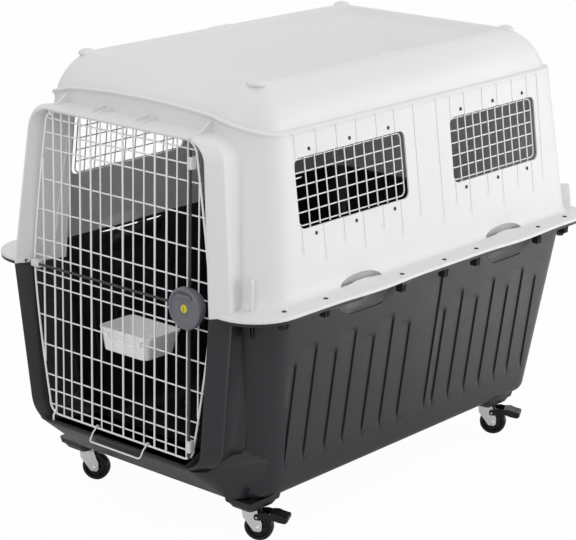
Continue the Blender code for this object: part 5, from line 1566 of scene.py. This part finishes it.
def plate_outline(half_x, half_y, radius, middle=(0.0, 0.0)):
    """A rectangle with round corners, as points of x and y."""
    corners = ((half_x, -half_y), (half_x, half_y), (-half_x, half_y), (-half_x, -half_y))
    return [(x + middle[0], y + middle[1]) for x, y in rounded(corners, [radius] * 4, 6)]


def slab(bm, outline, levels, matrix, upright=False):
    """A plate drawn flat, or side-on if upright, and grown to its thickness."""
    grow(bm, [[matrix @ Vector((a, at, b) if upright else (a, b, at)) for a, b in outline]
              for at in levels], "first last")


def mirrored(profile, skip=0):
    """A profile and its mirror image below the middle; skip leaves out that many shared points."""
    return [*profile, *[(radius, -height) for radius, height in reversed(profile[:len(profile) - skip])]]


def mount(label, corner, side, at):
    """The block under the floor, and the zinc plate with its race and rivets."""
    bm = bmesh.new()
    middle = (corner[0] + side * 0.004, corner[1])
    grow(bm, [[(x, y, z) for x, y in plate_outline(half_x, half_y, 0.010, middle)]
              for z, half_x, half_y in BLOCK_LEVELS], "first last")
    piece = finished("mount_block_" + label, bm, "base_plastic", "crate", "caster_block_" + label)
    soft_edges(piece, 0.0008)
    bm = bmesh.new()
    slab(bm, plate_outline(0.021, 0.021, 0.004), (PLATE_TOP - 0.0020, PLATE_TOP), at)
    lathe(bm, KINGPIN, at, 32)
    for x in (-0.0155, 0.0155):
        for y in (-0.0155, 0.0155):
            lathe(bm, PLATE_RIVET, at @ Matrix.Translation((x, y, 0)), 16)
    finished("top_plate_" + label, bm, "zinc", "crate", "caster_plate_" + label)


def fork(label, side, at):
    """The pressed fork; on the right its cheeks carry the studs of the pedal."""
    bm = bmesh.new()
    slab(bm, plate_outline(0.0155, FORK_HALF, 0.003, (-0.0005, 0.0)), (FORK_UNDER, FORK_TOP), at)
    lathe(bm, RACE, at, 32)
    for way in (1, -1):
        slab(bm, CHEEK, sorted((way * FORK_HALF, way * (FORK_HALF - SHEET))), at, True)
        if side == 1:
            pivot = Matrix.Translation((PEDAL_X, 0, PEDAL_Z)) @ Matrix.Rotation(-way * pi / 2, 4, "X")
            lathe(bm, STUD, at @ pivot, 20)
    soft_edges(finished("fork_" + label, bm, "zinc", "fork_" + label, "caster_fork_" + label), 0.0005)


def wheel(label, at):
    """The axle, and the wheel with six spokes on each face."""
    lay = at @ Matrix.Translation((TRAIL, 0.0, WHEEL_RADIUS)) @ Matrix.Rotation(-pi / 2, 4, "X")
    bm = bmesh.new()
    lathe(bm, mirrored(AXLE, 1), lay, 28)
    finished("axle_" + label, bm, "zinc", "fork_" + label, "caster_axle_" + label)
    bm = bmesh.new()
    lathe(bm, [*mirrored(WHEEL), WHEEL[0]], lay, 64)
    for turn in range(6):
        spoke = lay @ Matrix.Rotation(turn * pi / 3, 4, "Z")
        for web in (0.0072, -0.0072):
            block(bm, (0.0085, -0.0011, web - 0.0022), (0.0205, 0.0011, web + 0.0022), 0.0006, 2, spoke)
    finished("wheel_" + label, bm, "wheel_plastic", "wheel_" + label, "caster_wheel_" + label, sharp=30)


def pedal(label, at):
    """The foot brake: a ribbed tread on two arms."""
    bm = bmesh.new()
    inner = FORK_HALF + 0.0004
    outer = inner + 0.0020
    slab(bm, TREAD, (-outer, outer), at, True)
    for way in (1, -1):
        slab(bm, PEDAL_ARM, sorted((way * inner, way * (outer - 0.0001))), at, True)
    for step in range(5):
        x = 0.0590 + 0.0042 * step
        z = 0.0616 - 0.0035 * (x - 0.060) / 0.019
        block(bm, (x, -outer + 0.002, z - 0.002), (x + 0.0018, outer - 0.002, z + 0.0004), 0.0004, 2, at)
    piece = finished("pedal_" + label, bm, "wheel_plastic", "pedal_" + label, "brake_pedal_" + label)
    soft_edges(piece, 0.0007)


for label, corner in CASTER_PLACES.items():
    side = 1 if corner[0] > 0 else -1
    at = Matrix.Translation((*corner, 0.0)) @ Matrix.Rotation(HEADING, 4, "Z")
    mount(label, corner, side, at)
    fork(label, side, at)
    wheel(label, at)
    if side == 1:
        pedal(label, at)

# %% [markdown]
# ## Floor, light and camera
#
# The floor is a pale sheet that the camera and clear surfaces see as nearly plain white, while
# every other ray meets the lit floor, so the crate still throws its shadow. Gloss meets mostly the
# lit floor, so the foot of the dark base mirrors the shade around it. The light is soft and level,
# with a large panel at the right rear, which makes the long side the palest. A small panel close over
# the floor there lights a patch that the base mirrors.

# %% Floor, world and lamps


def seen(nodes, gloss):
    """How much plain white a ray meets: all of it from the camera and through clear plastic, and
    the share called gloss after a mirror-like bounce."""
    path = nodes.new("ShaderNodeLightPath")
    total = path.outputs["Is Camera Ray"]
    for kind, share in (("Is Glossy Ray", gloss), ("Is Transmission Ray", 1.0)):
        add = nodes.new("ShaderNodeMath")
        add.operation = "MULTIPLY_ADD"
        add.use_clamp = True
        nodes.id_data.links.new(path.outputs[kind], add.inputs[0])
        add.inputs[1].default_value = share
        nodes.id_data.links.new(total, add.inputs[2])
        total = add.outputs[0]
    return total


world = bpy.data.worlds.new("studio")
bpy.context.scene.world = world
world.use_nodes = True
sky = world.node_tree.nodes["Background"]
SKY_LEVEL = 0.59
SKY_GLOSS, FLOOR_GLOSS = 0.7, 0.10
FLOOR_WHITE = 0.972
mixed = world.node_tree.nodes.new("ShaderNodeMix")
mixed.data_type = "RGBA"
mixed.inputs[6].default_value = (SKY_LEVEL, SKY_LEVEL, SKY_LEVEL * 1.01, 1.0)
mixed.inputs[7].default_value = (1.0, 1.0, 1.0, 1.0)
world.node_tree.links.new(seen(world.node_tree.nodes, SKY_GLOSS), mixed.inputs["Factor"])
world.node_tree.links.new(mixed.outputs[2], sky.inputs["Color"])
sky.inputs["Strength"].default_value = 1.0

floor_mesh = bmesh.new()
bmesh.ops.create_grid(floor_mesh, x_segments=1, y_segments=1, size=30.0,
                      matrix=Matrix.Translation((0, 0, -0.0004)))
floor_data = bpy.data.meshes.new("studio_floor")
floor_mesh.to_mesh(floor_data)
floor_mesh.free()
floor = bpy.data.objects.new("studio_floor", floor_data)
bpy.context.scene.collection.objects.link(floor)
floor_finish = Finish("studio floor", Roughness=0.9, Specular_IOR_Level=0.0)
sheet = floor_finish.mix(floor_finish.noise(3.0), (0.78, 0.78, 0.78), (0.82, 0.82, 0.82))
floor_finish.set("Base Color", sheet)
white = floor_finish.node("ShaderNodeEmission", inputs={"Color": (1.0, 1.0, 1.0), "Strength": 1.0})
shade = Signal(floor_finish, floor_finish.shader.outputs[0])
share = Signal(floor_finish, seen(floor_finish.nodes, FLOOR_GLOSS)) * FLOOR_WHITE
blend = floor_finish.node("ShaderNodeMixShader", inputs=[share, shade, white])
floor_finish.put(floor_finish.nodes["Material Output"].inputs["Surface"], blend)
floor_data.materials.append(floor_finish.material)


def panel(name, place, target, width, height, power):
    """A soft rectangular lamp that faces a point."""
    lamp = bpy.data.lights.new(name, "AREA")
    lamp.shape = "RECTANGLE"
    lamp.size = width
    lamp.size_y = height
    lamp.energy = power
    holder = bpy.data.objects.new(name, lamp)
    holder.location = place
    holder.rotation_euler = (Vector(target) - Vector(place)).to_track_quat("-Z", "Y").to_euler()
    bpy.context.scene.collection.objects.link(holder)


panel("front panel", (1.6, -3.6, 3.2), (0.0, 0.0, 0.45), 3.0, 2.4, 36.0)
panel("side panel", (3.6, 3.4, 1.1), (0.0, 0.0, 0.5), 3.2, 2.2, 76.0)
panel("rear floor panel", (1.15, 1.3, 0.42), (1.15, 1.3, 0.0), 1.2, 1.2, 9.0)
panel("top panel", (0.0, 0.0, 4.0), (0.0, 0.0, 0.0), 3.5, 3.5, 18.0)
print("lamps:", [(lamp.name, lamp.energy) for lamp in bpy.data.lights])

# %% [markdown]
# ## Camera
#
# The camera was fitted to the photograph: its angles, its place and its focal length in pixels.

# %% Camera
SENSOR = 36.0
PHOTO_WIDTH = 576
FOCAL_PIXELS = 2054.84
CAMERA_PLACE = (2.8179, -3.2279, 1.7240)
AZIMUTH = radians(41.303)
ELEVATION = radians(16.743)
ROLL = radians(0.289)
back = Vector((sin(AZIMUTH) * cos(ELEVATION), -cos(AZIMUTH) * cos(ELEVATION), sin(ELEVATION)))
right = Vector((cos(AZIMUTH), sin(AZIMUTH), 0.0))
above = back.cross(right)
turned_right = right * cos(ROLL) + above * sin(ROLL)
turned_above = above * cos(ROLL) - right * sin(ROLL)
lens = bpy.data.cameras.new("camera")
lens.sensor_width = SENSOR
lens.lens = SENSOR * FOCAL_PIXELS / PHOTO_WIDTH
lens.shift_x = -0.0080
lens.shift_y = -0.0005
camera = bpy.data.objects.new("camera", lens)
camera.matrix_world = Matrix.Translation(CAMERA_PLACE) @ Matrix(
    (turned_right, turned_above, back)).transposed().to_4x4()
bpy.context.scene.collection.objects.link(camera)
bpy.context.scene.camera = camera
print("camera:", CAMERA_PLACE, "lens", round(lens.lens, 2), "mm")

# %% Finish
bpy.context.scene.view_settings.view_transform = "Standard"
